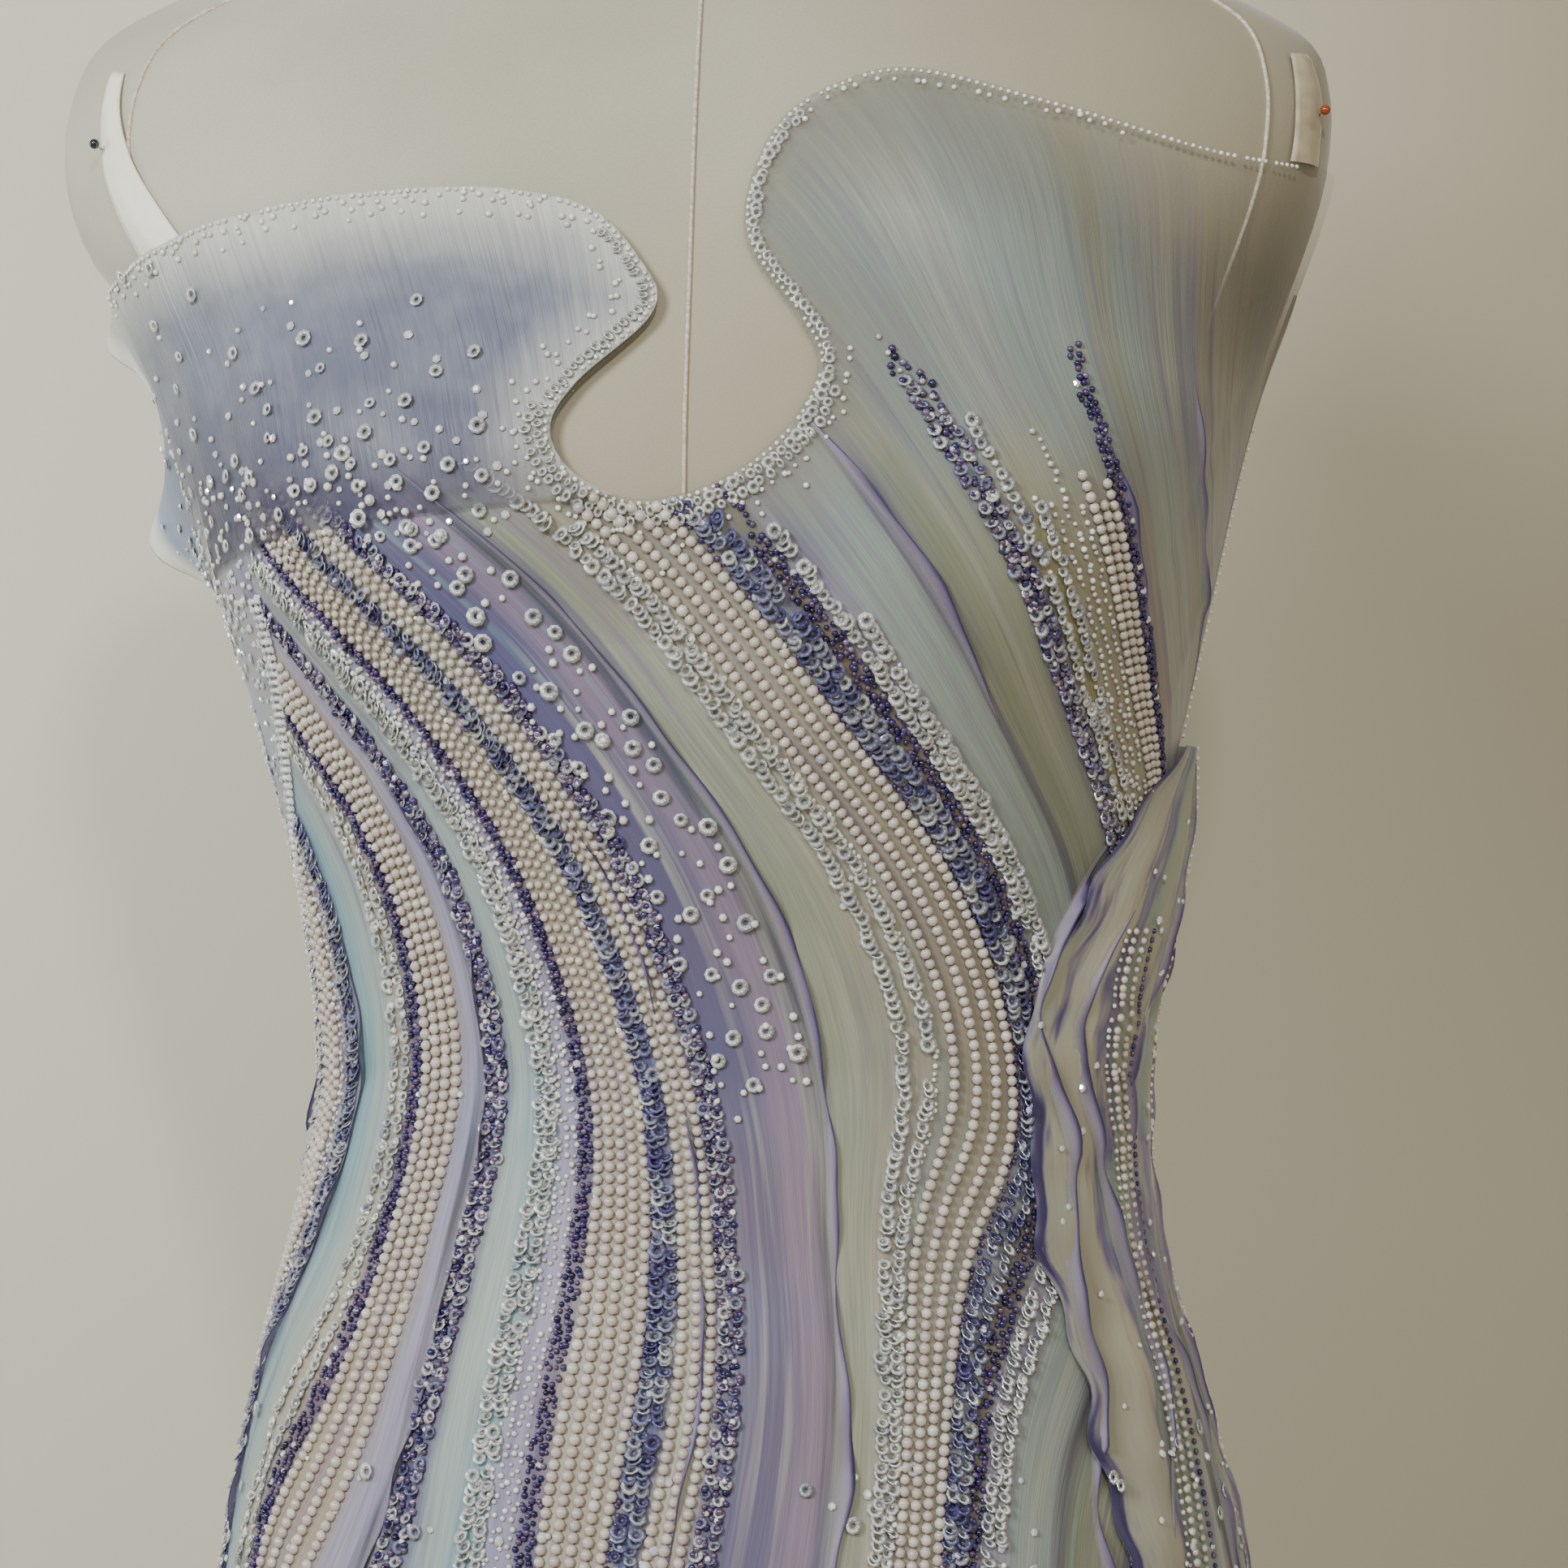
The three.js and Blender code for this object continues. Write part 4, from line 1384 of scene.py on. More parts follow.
class Lot:
    """Beads of one kind, gathered and then made as one mesh. on_net lets them lie on the net panel."""

    def __init__(self):
        self.rows = []
        self.on_net = True

    def add(self, angle, z, size, tone, heading, lift, tilt=0.0, over=None):
        angle, z = np.atleast_1d(angle).astype(float), np.atleast_1d(z).astype(float)
        if not len(angle):
            return
        keep = shows(angle, z)
        if not self.on_net:
            keep = keep & ((angle > seam("left_front", z) + 0.02) | (angle < seam("left_back", z)))
        stand = over(angle, z) if over else 0.0
        values = (angle, z, size, tone, heading, lift, tilt, stand)
        self.rows.append(np.stack([np.broadcast_to(value, angle.shape)[keep] for value in values]))

    def make(self, name, template, material, slot, smooth=True):
        angle, z, size, tone, heading, lift, tilt, stand = np.concatenate(self.rows, 1)
        shape, faces = template
        n = normals(angle, z)
        base = gown(angle, z) + n * (stand + lift * size)[:, None]
        across = gown(angle + TURN_STEP, z) - gown(angle - TURN_STEP, z)
        across /= np.linalg.norm(across, axis=1, keepdims=True)
        up = np.cross(n, across)
        forward = np.sin(heading)[:, None] * across + np.cos(heading)[:, None] * up
        side = np.cross(forward, n)
        lean = np.cos(tilt)[:, None] * forward + np.sin(tilt)[:, None] * n
        raised = np.cross(side, lean)
        frame_of = np.stack([lean, -side, raised], 1)
        points = base[:, None, :] + size[:, None, None] * np.einsum("vk,nkj->nvj", shape, frame_of)
        count = len(shape)
        all_faces = (faces[None] + (np.arange(len(angle)) * count)[:, None, None]).reshape(-1, 3)
        obj = put_mesh(name, points.reshape(-1, 3), all_faces, smooth)
        set_numbers(obj, "tone", np.repeat(tone, count))
        finish_piece(obj, material)


def shows(angle, z):
    """Which beads lie on the gown, below its top edge and above its hem."""
    points = gown(angle, z, False)
    front = (angle > seam("left_front", z)) & (angle < seam("right_front", z))
    neck = above_neckline(points[:, 0], points[:, 2]) < -1.2
    arm = z < read(ARMHOLE, "z", np.degrees(angle), "angle") - 1.5
    return np.where(front, neck, arm) & (z > HEM_Z + 3)


def under_layer(angle, z):
    """Stand-off of beads that lie on the puffed layer or the side drape."""
    share = (np.degrees(angle) - FRILL_ANGLE) / (LOBE_ANGLE - FRILL_ANGLE)
    bottom, top = lobe_ends(share)
    up = (z - bottom) / (top - bottom)
    on_lobe = (share > 0) & (share < LOBE_END) & (up > 0) & (up < 1)
    lobe = lobe_lift(np.clip(share, 0, 1), np.clip(up, 0, 1)) + 0.9
    height = drape_up(z)
    front, back = drape_angle(0, height), drape_angle(1, height)
    part = (angle - front) / (back - front)
    on_drape = (part > 0) & (part < 1) & (height > 0) & (height < 1)
    drape = LIFT + read(DRAPE, "out", height, "up") * np.sin(np.pi * np.clip(part, 0, 1)) + 1.9
    return np.where(on_lobe, lobe, np.where(on_drape, drape, 0.0))


def shares(mean, spread, count):
    """Random numbers round a mean, kept between 0 and 1."""
    return np.clip(draw.normal(mean, spread, count), 0, 1)


def trace(value, top, bottom, pitch, ease):
    """Places along the line of one flow value, a pitch apart, from top down to bottom."""
    z = np.arange(WAIST_Z + top, WAIST_Z + bottom, -1.5)
    angle = angle_of_flow(value, z)
    points = gown(angle, z, False)
    step = np.linalg.norm(np.diff(points, axis=0), axis=1)
    run = np.concatenate([[0], np.cumsum(step)])
    at = np.arange(ease * pitch, run[-1], pitch)
    a, h = np.interp(at, run, angle), np.interp(at, run, z)
    rise = np.gradient(z, run)
    turn = np.gradient(angle, run) * np.hypot(points[:, 0], points[:, 1])
    heading = np.interp(at, run, np.unwrap(np.arctan2(turn, rise)))
    return a, h, heading


def spacing(angle, z, gap):
    """Real distance between two lines of flow that lie a gap apart in the pattern."""
    step = 2.0
    here = gown(angle, z, False)
    nxt = gown(angle_of_flow(flow(angle, z) + step, z), z, False)
    slant = gown(angle_of_flow(flow(angle, z), z + step), z + step, False) - here
    slant /= np.linalg.norm(slant, axis=1, keepdims=True)
    across = nxt - here
    across -= np.sum(across * slant, 1, keepdims=True) * slant
    return np.linalg.norm(across, axis=1) * gap / step


ROW_GAP = 4.4
LEAST_BEAD = 1.1
MOST_BEAD = 1.85


def sew_pearls(pearls, start, end, top, bottom):
    """Close rows of pearls across a band, larger where the band is wide."""
    rows = max(2, int(round((end - start - 1.5) / ROW_GAP)))
    gap = (end - start) / rows
    for i in range(rows):
        value = start + gap * (i + 0.5)
        ragged = draw.uniform(-14, 14, 2)
        a, z, heading = trace(value, top + ragged[0], bottom + ragged[1], 3.55, 0.5 * (i % 2))
        size = np.clip(spacing(a, z, gap) * 0.47, LEAST_BEAD, MOST_BEAD)
        size = size * draw.uniform(0.93, 1.05, len(a))
        keep = draw.random(len(a)) > fading(z)
        tone = shares(0.42, 0.17, len(a))
        pearls.add(a[keep], z[keep], size[keep], tone[keep], heading[keep], 0.3)


def fading(z):
    """Share of beads left out, which grows down the skirt."""
    return 0.85 * smoothstep(WAIST_Z - z, 230, 470)


def sew_rope(lot, start, end, top, bottom, size, pitch, rows, tones, tilt):
    """Overlapping beads in a strand of a few rows. tones is their mean tone and its spread."""
    for i in range(rows):
        value = start + (end - start) * (i + 0.5) / rows
        ragged = draw.uniform(-18, 18, 2)
        a, z, heading = trace(value, top + ragged[0], bottom + ragged[1], pitch, 0.4 * i)
        keep = draw.random(len(a)) > np.maximum(fading(z), 0.05)
        count = len(a)
        sizes = size * draw.uniform(0.76, 1.16, count)
        tone = shares(*tones, count)
        leans = tilt + draw.normal(0, 0.18, count)
        heading = heading + draw.normal(0, 0.3, count)
        a = a + draw.normal(0, 0.5, count) / AROUND
        z = z + draw.normal(0, 0.4, count)
        lot.add(a[keep], z[keep], sizes[keep], tone[keep], heading[keep], 0.25, leans[keep])


def apart(angle, z, gap):
    """Drops places nearer than a gap to one kept before them."""
    points = gown(angle, z, False)
    kept = [0]
    for i in range(1, len(points)):
        if np.min(np.sum((points[kept] - points[i]) ** 2, 1)) > gap * gap:
            kept.append(i)
    return angle[kept], z[kept]


def sew_loose(lot, start, end, top, bottom, count, size, tones, lift=0.3):
    """Loose beads scattered over a band, none on another. size is the least and the most."""
    value = draw.uniform(start, end, count)
    z = WAIST_Z + draw.uniform(bottom, top, count)
    a, z = apart(angle_of_flow(value, z), z, size[1] * 2.4)
    count = len(a)
    sizes = draw.uniform(*size, count)
    tone = shares(*tones, count)
    turn = draw.uniform(0, 2 * np.pi, count)
    lot.add(a, z, sizes, tone, turn, lift, draw.normal(0, 0.12, count), under_layer)


def sew_bands(lots):
    """Sews what each band of the table names."""
    for (start, _, *sewn), (end, *_) in zip(BANDS, BANDS[1:]):
        if not sewn:
            continue
        beads, top, bottom = sewn
        span = (start, end, top, bottom)
        if beads == "pearls":
            sew_pearls(lots["pearls"], *span)
            sew_loose(lots["seeds"], *span, int((end - start) * 2), (0.8, 1.3), (0.8, 0.15))
        if beads == "dark":
            sew_rope(lots["dark"], *span, 1.15, 2.3, 3, (0.35, 0.25), 0.1)
            sew_loose(lots["stones"], *span, 24, (0.9, 1.5), (0.7, 0.2))
        if beads == "sequins":
            sew_rope(lots["sequins"], *span, 2.5, 2.5, 2, (0.3, 0.22), 0.5)
            line = (start - 1.5, start + 1.5, top - 12, bottom + 16)
            sew_rope(lots["dark"], *line, 1.0, 2.2, 1, (0.5, 0.2), 0)
        if beads == "clear":
            sew_rope(lots["clear"], *span, 2.45, 2.6, 2, (0.85, 0.12), 0.5)
            sew_rope(lots["seeds"], end - 2, end, top, bottom, 0.95, 2.3, 1, (0.85, 0.1), 0)
        if beads == "cluster":
            sew_rope(lots["dark"], *span, 1.3, 2.5, 3, (0.55, 0.28), 0.15)
            sew_rope(lots["sequins"], *span, 2.1, 4.4, 2, (0.5, 0.25), 0.4)
            sew_rope(lots["seeds"], *span, 1.1, 5.6, 2, (0.5, 0.3), 0)
        if beads == "scales":
            rows = [max(2, int((end - start) / gap)) for gap in (5.2, 6)]
            sew_rope(lots["clear"], *span, 2.2, 3.6, rows[0], (0.72, 0.14), 0.3)
            sew_rope(lots["seeds"], *span, 1.1, 4.1, rows[1], (0.75, 0.15), 0)
        if beads in ("clear", "scales", "sequins"):
            sew_loose(lots["stones"], *span, 20, (0.9, 1.5), (0.7, 0.2))
        if beads == "lines":
            sew_rope(lots["seeds"], *span, 1.0, 2.8, 3, (0.6, 0.2), 0)
        if beads == "rings":
            sew_loose(lots["clear"], *span, 46, (2.2, 3.1), (0.8, 0.15), 0.2)
            sew_loose(lots["seeds"], *span, 60, (1.0, 1.6), (0.8, 0.15))


# Heights of the beaded net under the arm, and of the rows on its seams and on the side drape
NET_HEIGHTS = (880, 1204)
NET_SEAM = np.arange(1202, 896, -2.5)
PLAIN_SEAM = np.arange(1260, 700, -3.1)
DRAPE_ROWS = np.arange(1100, 812, -3.1)
DRAPE_STREWN = (800, 1110)


def sew_left_bust(lots):
    """Sequins and stones strewn over the foot of the puffed layer and under the arm."""
    # kind, count, sizes, mean tone with its spread, and gap
    spread = [
        ("sequins", 240, (1.7, 2.7), (0.85, 0.12), 8.0),
        ("stones", 260, (0.9, 1.6), (0.7, 0.2), 6.0),
        ("seeds", 200, (0.9, 1.4), (0.75, 0.2), 5.5),
    ]
    for name, count, size, tones, gap in spread:
        share = draw.uniform(0.06, 0.86, count)
        up = np.abs(draw.normal(0, 0.26, count)) - 0.2 + 0.16 * share
        angle, z = apart(*lobe_place(share, up), gap)
        count = len(z)
        sizes = draw.uniform(*size, count)
        tone = shares(*tones, count)
        turn = draw.uniform(0, 2 * np.pi, count)
        lots[name].add(angle, z, sizes, tone, turn, 0.2, draw.normal(0, 0.12, count), under_layer)
    # kind, count, shares of the width, their power, gap, sizes, lean, least tone, turn and stand-off
    under_arm = [
        ("stones", 900, (0.02, 1.0), 0.7, 3.2, (0.8, 1.5), 0.3, 0.0, 6, 0.3),
        ("clear", 150, (0.1, 0.97), 0.6, 7, (1.6, 2.3), 0.2, 0.6, 0, 0.2),
    ]
    for name, count, part, crowd, gap, size, lean, tone, turn, lift in under_arm:
        z = draw.uniform(*NET_HEIGHTS, count)
        left, right = seam("left_back", z), seam("left_front", z)
        angle, z = apart(left + (right - left) * draw.uniform(*part, count) ** crowd, z, gap)
        count = len(z)
        sizes = draw.uniform(*size, count)
        tilt = draw.normal(0, lean, count)
        tones = draw.uniform(tone, 1, count)
        heading = draw.uniform(0, turn, count) if turn else 0 * z
        lots[name].add(angle, z, sizes, tones, heading, lift, tilt, under_layer)


def edge_line(distance, pitch, first, last):
    """Places along the neckline, a distance inside it and a pitch apart, with their heading."""
    line = NECK_EDGE
    tangent = np.gradient(line, axis=0)
    tangent /= np.linalg.norm(tangent, axis=1, keepdims=True)
    inner = line + distance * np.stack([tangent[:, 1], -tangent[:, 0]], 1)
    angle = angle_of_x(inner[:, 0], inner[:, 1])
    points = gown(angle, inner[:, 1], False)
    run = np.concatenate([[0], np.cumsum(np.linalg.norm(np.diff(points, axis=0), axis=1))])
    at = np.arange(first * run[-1], last * run[-1], pitch)
    a, z = np.interp(at, run, angle), np.interp(at, run, inner[:, 1])
    turn = np.gradient(points, axis=0)
    side = np.hypot(turn[:, 0], turn[:, 1]) * np.sign(turn[:, 0])
    heading = np.interp(at, run, np.unwrap(np.arctan2(side, turn[:, 2])))
    return a, z, heading


# Rows inside the neckline: distance from it, pitch, and the shares of it where they start and end
SEQUIN_ROWS = [(3.6, 2.9, 0.31, 0.7), (6.6, 3.4, 0.4, 0.57)]
SEED_ROWS = [
    (4.1, 3.6, 0.0, 0.31),
    (4.1, 5.2, 0.7, 0.84),
    (9.3, 4.6, 0.3, 0.6),
    (8.2, 8.5, 0.04, 0.3),
    (11.5, 9, 0.33, 0.58),
    (14.5, 14, 0.36, 0.56),
]

# Rows on the seam of the net panel: millimetres to its side, kind and size
SEAM_ROWS = [(0.0, "seeds", 1.2), (-2.6, "seeds", 1.0), (2.5, "stones", 1.25), (-5.2, "stones", 1.1)]


def sew_edges(lots):
    """Beaded edge of the neckline and the side seam."""
    a, z, heading = edge_line(1.3, 2.5, 0, 0.93)
    keep = draw.random(len(a)) < 0.9
    size = draw.uniform(0.7, 0.95, len(a))
    tone = draw.uniform(0.6, 1, keep.sum())
    lots["seeds"].add(a[keep], z[keep], size[keep], tone, heading[keep], 0.3, 0, under_layer)
    for distance, pitch, first, last in SEQUIN_ROWS:
        a, z, heading = edge_line(distance, pitch, first, last)
        count = len(a)
        a, z = a + draw.normal(0, 0.3, count) / AROUND, z + draw.normal(0, 0.3, count)
        size = draw.uniform(1.5, 2.1, count)
        tilt = 0.45 + draw.normal(0, 0.2, count)
        lots["sequins"].add(a, z, size, draw.uniform(0.75, 1, count), heading, 0.2, tilt, under_layer)
    for distance, pitch, first, last in SEED_ROWS:
        a, z, heading = edge_line(distance, pitch, first, last)
        a = a + draw.normal(0, 1.1, len(a)) / AROUND
        z = z + draw.normal(0, 1.1, len(z))
        size = draw.uniform(0.8, 1.15, len(a))
        lots["seeds"].add(a, z, size, draw.uniform(0.6, 1, len(a)), heading, 0.3, 0, under_layer)
    z = NET_SEAM
    for shift, name, size in SEAM_ROWS:
        angle = seam("left_front", z) + shift / AROUND
        sizes = size * draw.uniform(0.85, 1.15, len(z))
        lots[name].add(angle, z, sizes, draw.uniform(0.5, 1, len(z)), 0 * z, 0.5, 0, under_layer)
    z = PLAIN_SEAM
    for name in ("right_front", "left_back", "right_back"):
        lots["seeds"].add(seam(name, z), z, 0.9, draw.uniform(0.6, 1, len(z)), 0 * z, 0.5, 0, under_layer)


def sew_drape(lots):
    """Rows of pearls and stones down the side drape."""
    z = DRAPE_ROWS
    up = drape_up(z)
    rows = (("pearls", 0.3, 1.35), ("pearls", 0.345, 1.25), ("seeds", 0.27, 0.9), ("dark", 0.39, 1.1))
    for name, share, size in rows:
        angle = drape_angle(share + 0.05 * np.sin(10 * up + 2), up)
        sizes = size * draw.uniform(0.85, 1.12, len(z))
        tone = draw.uniform(0.2, 0.8, len(z))
        lots[name].add(angle, z, sizes, tone, 0 * z, 0.3, 0, under_layer)
    count = 60
    z = draw.uniform(*DRAPE_STREWN, count)
    angle = drape_angle(draw.uniform(0.1, 0.9, count), drape_up(z))
    tilt = draw.normal(0, 0.3, count)
    lots["stones"].add(angle, z, draw.uniform(0.9, 1.5, count), 1, 0 * z, 0.3, tilt, under_layer)


def sew_skirt(lots):
    """Single stones and sequins strewn down the skirt, thinner towards the hem."""
    for name, count, size in (("stones", 900, (0.9, 1.7)), ("sequins", 420, (1.9, 2.8))):
        z = HEM_Z + (HIP_Z + 60 - HEM_Z) * draw.uniform(0.02, 1, count) ** 0.6
        angle = draw.uniform(-np.pi, np.pi, count)
        sizes = draw.uniform(*size, count)
        turn = draw.uniform(0, 6, count)
        lots[name].add(angle, z, sizes, draw.uniform(0.4, 1, count), turn, 0.3, 0, under_layer)


def make_beads():
    """Sews the bands, which stay off the net panel, and then all that may lie on it."""
    lots = {name: Lot() for name in ("pearls", "seeds", "sequins", "clear", "dark", "stones")}
    for lot in lots.values():
        lot.on_net = False
    sew_bands(lots)
    for lot in lots.values():
        lot.on_net = True
    sew_left_bust(lots)
    sew_edges(lots)
    sew_drape(lots)
    sew_skirt(lots)
    ivory = ["#DAD4CA", "#CEC5BA", "#C0B3A8", "#C6BBB6", "#AFA4AE"]
    clear = ["#625D92", "#9092BC", "#C6CAD6", "#E8EAEA", "#FBFBF9"]
    white = ["#A8979A", "#BDB2BA", "#D6D0CB", "#E6E4DE", "#F6F5F0"]
    dark = ["#1E1840", "#352A68", "#54406E", "#6B5A70", "#8A7DA0"]
    bright = ["#C9C4E0", "#DCE3EE", "#F3F3F6", "#FFFFFF"]
    glaze = bead_paint("pearl_glaze", ivory, 0.2, 0.0, 0.8)
    lots["pearls"].make("pearl_rows", PEARL, glaze, "pearl_beads")
    glaze = bead_paint("seed_glaze", white, 0.16, 0.0, 0.8)
    lots["seeds"].make("seed_beads", SEED, glaze, "pearl_beads")
    shimmer = bead_paint("sequin_shimmer", clear, 0.12, 0.35, 0.8, 420.0)
    lots["sequins"].make("ring_sequins", SEQUIN, shimmer, "clear_sequins")
    lots["clear"].make("clear_sequins", SEQUIN, shimmer, "clear_sequins")
    glass = bead_paint("dark_glass", dark, 0.16, 0.3, 0.5)
    lots["dark"].make("dark_beads", SEED, glass, "dark_beads")
    cut = bead_paint("cut_stone", bright, 0.09, 0.45, 0.6)
    lots["stones"].make("cut_stones", STONE, cut, "clear_sequins", False)


# Where a raw edge runs: along a flow from top to bottom, or down the side drape at a share
# pale marks the edges on the left hip that get a painted light rim, where light from the left catches them
FLOW_EDGES = table(("flow", "top", "bottom", "width", "pale"), [
    (-318, 30, -420, 6.0, 1),
    (-285, -20, -520, 6.5, 1),
    (-262, -70, -420, 5.0, 0),
    (-236, -110, -640, 6.0, 1),
    (-212, 40, -700, 3.6, 0),
    (-152, 60, -860, 3.6, 0),
    (-80, 150, -900, 3.6, 0),
    (8, 100, -640, 3.0, 0),
    (60, 190, -880, 3.6, 0),
    (151, 205, 104, 4.2, 0),
    (151, -282, -920, 3.6, 0),
    (240, 215, 108, 3.8, 0),
    (306, 225, 118, 3.4, 0),
])

DRAPE_EDGES = table(("share", "top", "bottom", "width"), [
    (0.03, 86, -262, 4.6),
    (0.22, 60, -150, 5.0),
    (0.42, 98, -262, 5.4),
    (0.64, 84, -200, 4.4),
    (0.84, 60, -262, 4.0),
])


EDGE_STEP = 3.5
EDGE_TAPER = 12  # steps over which a raw edge narrows to its ends


def edge_strip(foot, z, width, seed):
    """A raw edge that starts at the foot angles, stands up a little and wavers."""
    columns = 4
    t = np.linspace(0, 1, columns + 1)
    index = np.arange(len(z))
    ends = np.minimum(1, np.minimum(index, index[::-1]) / EDGE_TAPER)[:, None]
    waver = (1.6 * np.sin(z / 11 + seed) + 0.8 * np.sin(z / 5.3 + 2 * seed))[:, None]
    swell = 1 + 0.35 * np.sin(z / 31 + seed) + 0.2 * np.sin(z / 13 + 3 * seed)
    reach = width * swell[:, None] * ends
    angle = foot[:, None] + (reach * t + waver * t**2 * ends * 0.6) / AROUND
    flute = (np.sin(z / 7.5 + seed) + 0.6 * np.sin(z / 3.9))[:, None]
    lift = 0.15 + (1.3 + 0.9 * flute) * t**2 * ends
    height = np.broadcast_to(z[:, None], angle.shape)
    points = offset(angle, height, lift + under_layer(angle, height))
    keep = shows(foot, z)
    quads = grid(len(z) - 1, columns)[:, ::-1]
    row = np.arange(len(z) - 1).repeat(columns)
    share = np.broadcast_to(t, angle.shape).ravel()
    return points.reshape(-1, 3), quads[keep[row] & keep[row + 1]], height.ravel(), share


def make_raw_edges():
    """Raw edges of the organza bands and of the side drape's layers."""
    # Which edges get the painted light rim
    strips = []
    pale = []
    for value, top, bottom, width, light in zip(*FLOW_EDGES.values()):
        z = np.arange(WAIST_Z + top, WAIST_Z + bottom, -EDGE_STEP)
        strips.append(edge_strip(angle_of_flow(value, z), z, width, value))
        pale.append(np.full(len(strips[-1][0]), light))
    for share, top, bottom, width in zip(*DRAPE_EDGES.values()):
        z = np.arange(WAIST_Z + top, WAIST_Z + bottom, -EDGE_STEP)
        up = drape_up(z)
        lean = share + 0.07 * np.sin(12 * up + 8 * share) + 0.02 * np.sin(31 * up)
        strips.append(edge_strip(drape_angle(lean, up), z, width, 30 * share))
        pale.append(np.zeros(len(strips[-1][0])))
    points, faces = join([strip[:2] for strip in strips])
    obj = put_mesh("raw_edges", points, faces)
    set_numbers(obj, "along", np.concatenate([strip[2] for strip in strips]))
    set_numbers(obj, "edge", np.concatenate([strip[3] for strip in strips]))
    set_numbers(obj, "pale", np.concatenate(pale))
    bm = bmesh.new()
    bm.from_mesh(obj.data)
    bmesh.ops.delete(bm, geom=[v for v in bm.verts if not v.link_faces], context="VERTS")
    bm.to_mesh(obj.data)
    bm.free()
    thicken(obj, 0.3)
    finish_piece(obj, edge_cloth())


# Each pin: name, where it stands in the front view, and the two colours of its glass
PINS = [
    ("pin_dark", -196.015, 1349, "#101C1C", "#1A2A2A"),
    ("pin_amber", 196.015, 1358, "#7E3008", "#94400F"),
]
PIN_BALL = [(0, -1.7), (0.93, -1.41), (1.5, -0.8), (1.7, 0), (1.5, 0.8), (0.93, 1.41), (0, 1.7)]
PIN_FOOT = -0.9  # its depth from the gown's face
PIN_LEAN = (0, -2.2, 1.0)


def make_pins():
    """Ball-headed pins that hold the strap ends to the form."""
    for name, x, z, low, high in PINS:
        z = np.array([z])
        angle = angle_of_x(np.array([x]), z)
        n = normals(angle, z, False)[0]
        foot = offset(angle, z, np.array([PIN_FOOT]), False)[0]
        head = foot + n * 1.6 + PIN_LEAN
        ball = turned(name, PIN_BALL, 20)
        ball.data.transform(Matrix.Translation(head * MM))
        steel = put_mesh(name + "_shaft", *tube_along([foot - n * 0.6, head], 0.32))
        s = Shader(name + "_glass")
        speck = s.noise(s.here(), 400, 2)
        colour = s.tints(speck, (0.3, low), (0.7, high))
        s.set(Base_Color=colour, Roughness=0.12, Coat_Weight=0.6)
        finish_piece(ball, s.material)
        finish_piece(steel, pole_metal())


# Stage, light and camera


STAGE_REACH = 2600
WALL_Y = 450
WALL_TOP = 3000
COVE = 90


def make_stage():
    """Floor and wall in one sheet, with a cove between them."""
    start = WALL_Y - COVE
    path = [(y, 0.0) for y in np.linspace(-STAGE_REACH, start, 16)]
    turn = np.linspace(0, np.pi / 2, 16)[1:]
    path += [(start + COVE * math.sin(t), COVE - COVE * math.cos(t)) for t in turn]
    path += [(WALL_Y, z) for z in np.linspace(140, WALL_TOP, 12)]
    y, z = np.array(path).T
    x, y = np.meshgrid(np.linspace(-STAGE_REACH, STAGE_REACH, 5), y)
    points = np.stack([x, y, np.broadcast_to(z[:, None], x.shape)], -1)
    obj = put_patch("floor_and_wall", points)
    obj.data.materials.append(wall_paint())


def add_light(name, place, aim, size, power, colour):
    data = bpy.data.lights.new(name, "AREA")
    data.size = size
    data.energy = power
    data.color = colour
    obj = bpy.data.objects.new(name, data)
    obj.location = place
    obj.rotation_euler = (Vector(aim) - Vector(place)).to_track_quat("-Z", "Y").to_euler()
    bpy.context.scene.collection.objects.link(obj)


CAMERA_AZIMUTH = 3.1
CAMERA_DISTANCE = 1.1
CAMERA_HEIGHT = 1.1448
SENSOR = 36
PHOTO_WIDTH = 0.522
AXIS_PIXEL = 884
PHOTO_PIXELS = 1932


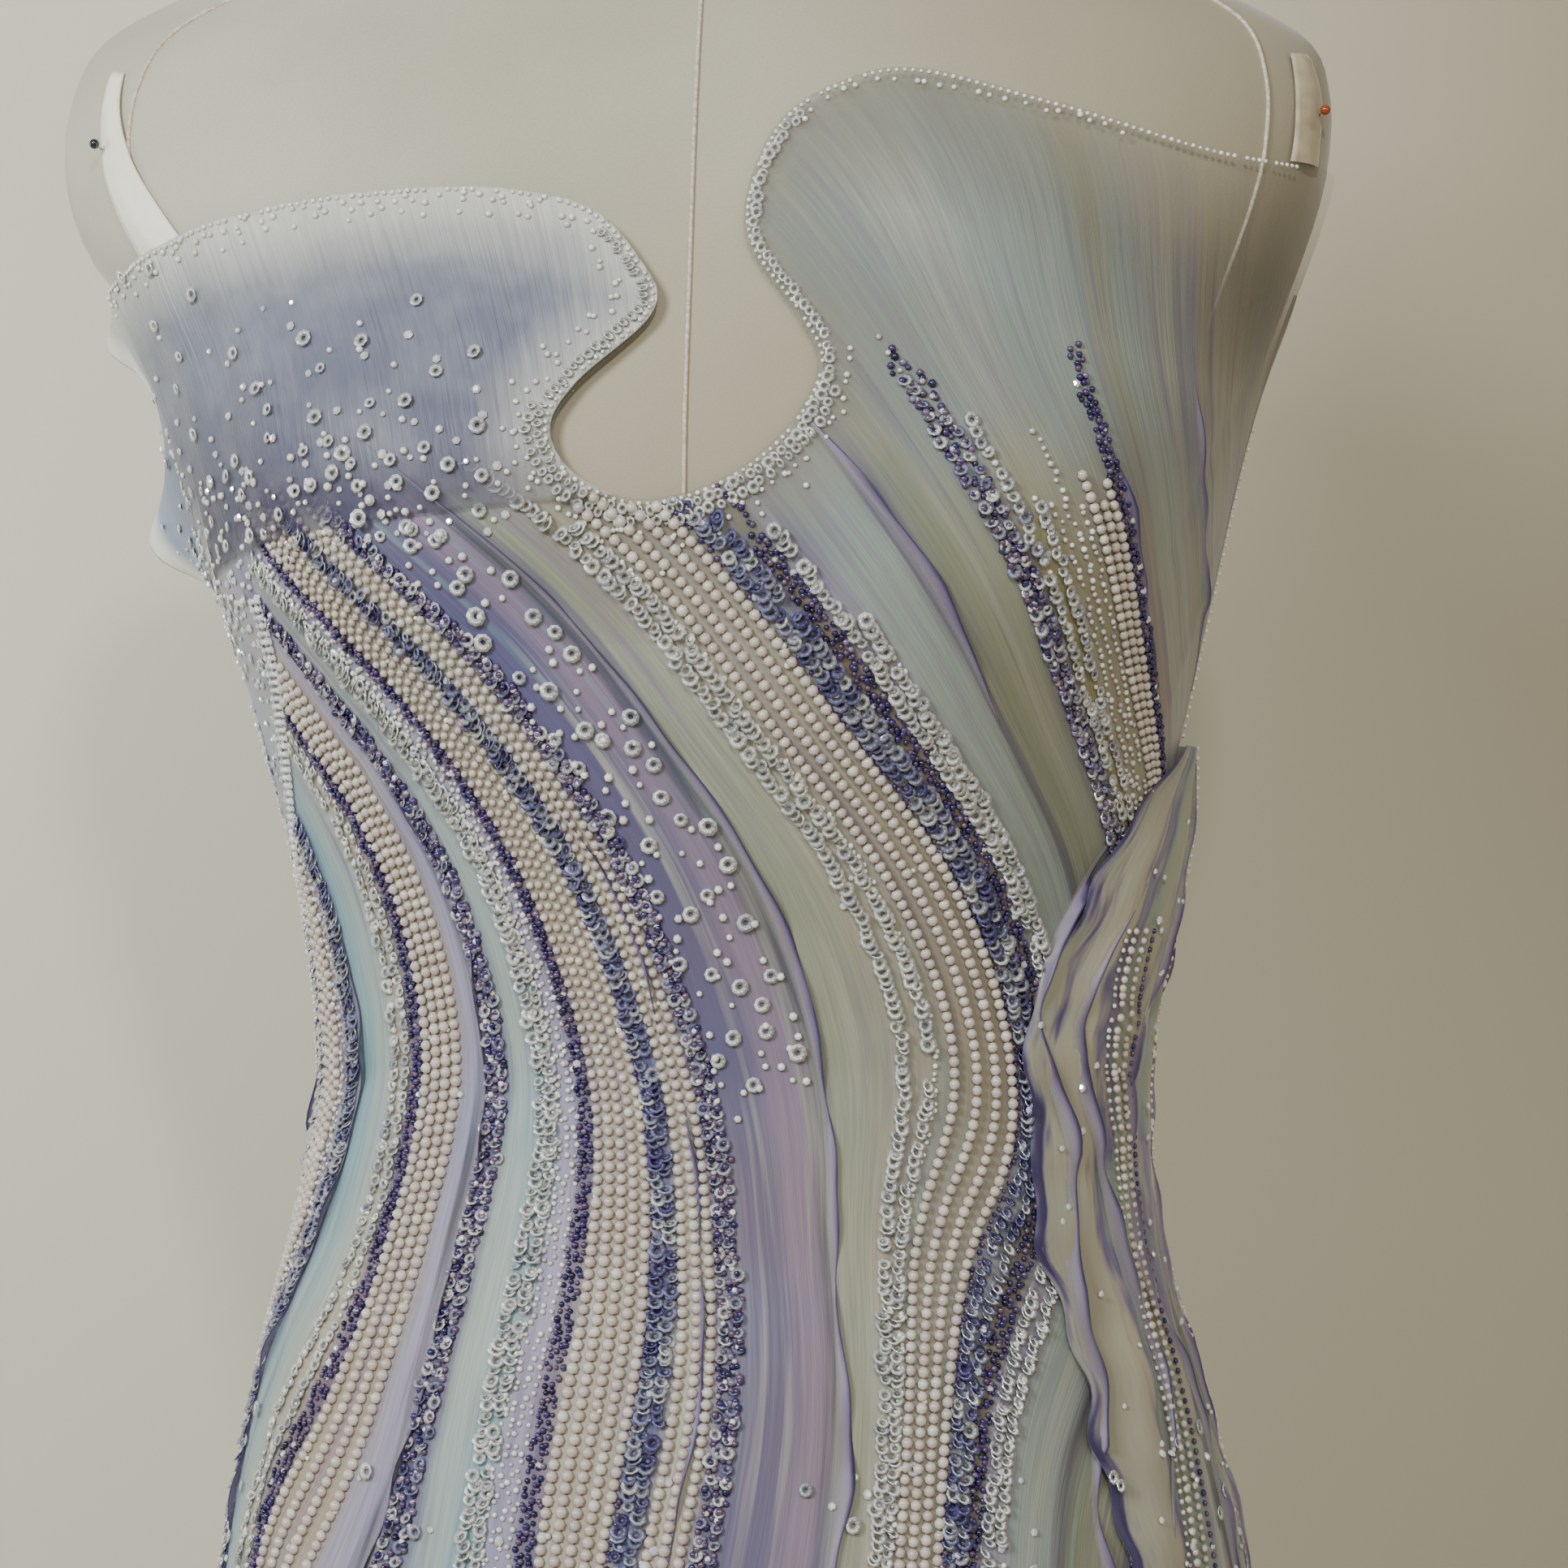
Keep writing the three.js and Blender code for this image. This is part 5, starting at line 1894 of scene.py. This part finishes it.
def make_camera():
    data = bpy.data.cameras.new("camera")
    data.sensor_width = SENSOR
    data.lens = SENSOR * CAMERA_DISTANCE / PHOTO_WIDTH
    obj = bpy.data.objects.new("camera", data)
    a = math.radians(CAMERA_AZIMUTH)
    across = (PHOTO_PIXELS / 2 - AXIS_PIXEL) / PHOTO_PIXELS * PHOTO_WIDTH
    x = CAMERA_DISTANCE * math.sin(a) + across * math.cos(a)
    y = -CAMERA_DISTANCE * math.cos(a) + across * math.sin(a)
    obj.location = (x, y, CAMERA_HEIGHT)
    obj.rotation_euler = (math.pi / 2, 0, a)
    bpy.context.scene.collection.objects.link(obj)
    bpy.context.scene.camera = obj


# Each light: name, place, aim, size in metres, power in watts and colour
LIGHTS = [
    ("window", (-1.05, -1.75, 2.05), (0, 0, 1.15), 0.6, 42, (0.94, 0.98, 1.0)),
    ("room", (1.3, -1.6, 1.5), (0, 0, 1.1), 1.2, 6, (1.0, 0.86, 0.66)),
    ("wall_wash", (-1.0, -0.05, 1.3), (-0.45, 0.45, 1.1), 0.5, 3.2, (0.95, 0.99, 1.0)),
    ("glint", (0.25, -1.7, 2.1), (0, 0, 1.15), 0.12, 13, (1.0, 0.98, 0.95)),
]
ROOM_COLOUR = (0.9, 0.88, 0.8, 1)
ROOM_STRENGTH = 0.32


def make_lights():
    for light in LIGHTS:
        add_light(*light)
    world = bpy.data.worlds.new("room")
    world.use_nodes = True
    background = world.node_tree.nodes["Background"]
    background.inputs["Color"].default_value = ROOM_COLOUR
    background.inputs["Strength"].default_value = ROOM_STRENGTH
    bpy.context.scene.world = world


# Names of the pieces sewn onto the gown
SEWN_ON = ["pearl_rows", "seed_beads", "ring_sequins", "clear_sequins"]
SEWN_ON += ["dark_beads", "cut_stones", "raw_edges"]


make_camera()
make_lights()
make_stage()
make_panels()
make_lobe()
make_drape()
satin = strap_cloth("strap_satin", "#F7F4DE", "#FDFBEC")
make_strap("strap_left", (1304, -55.5, 13), (1376, -65, 4), satin)
linen = strap_cloth("strap_linen", "#A3957A", "#C4B89C")
make_strap("strap_right", (1330, 69, 11), (1378, 68, 7), linen)
make_placket()
make_form()
make_form_seams()
make_stand()
make_raw_edges()
make_pins()
make_beads()
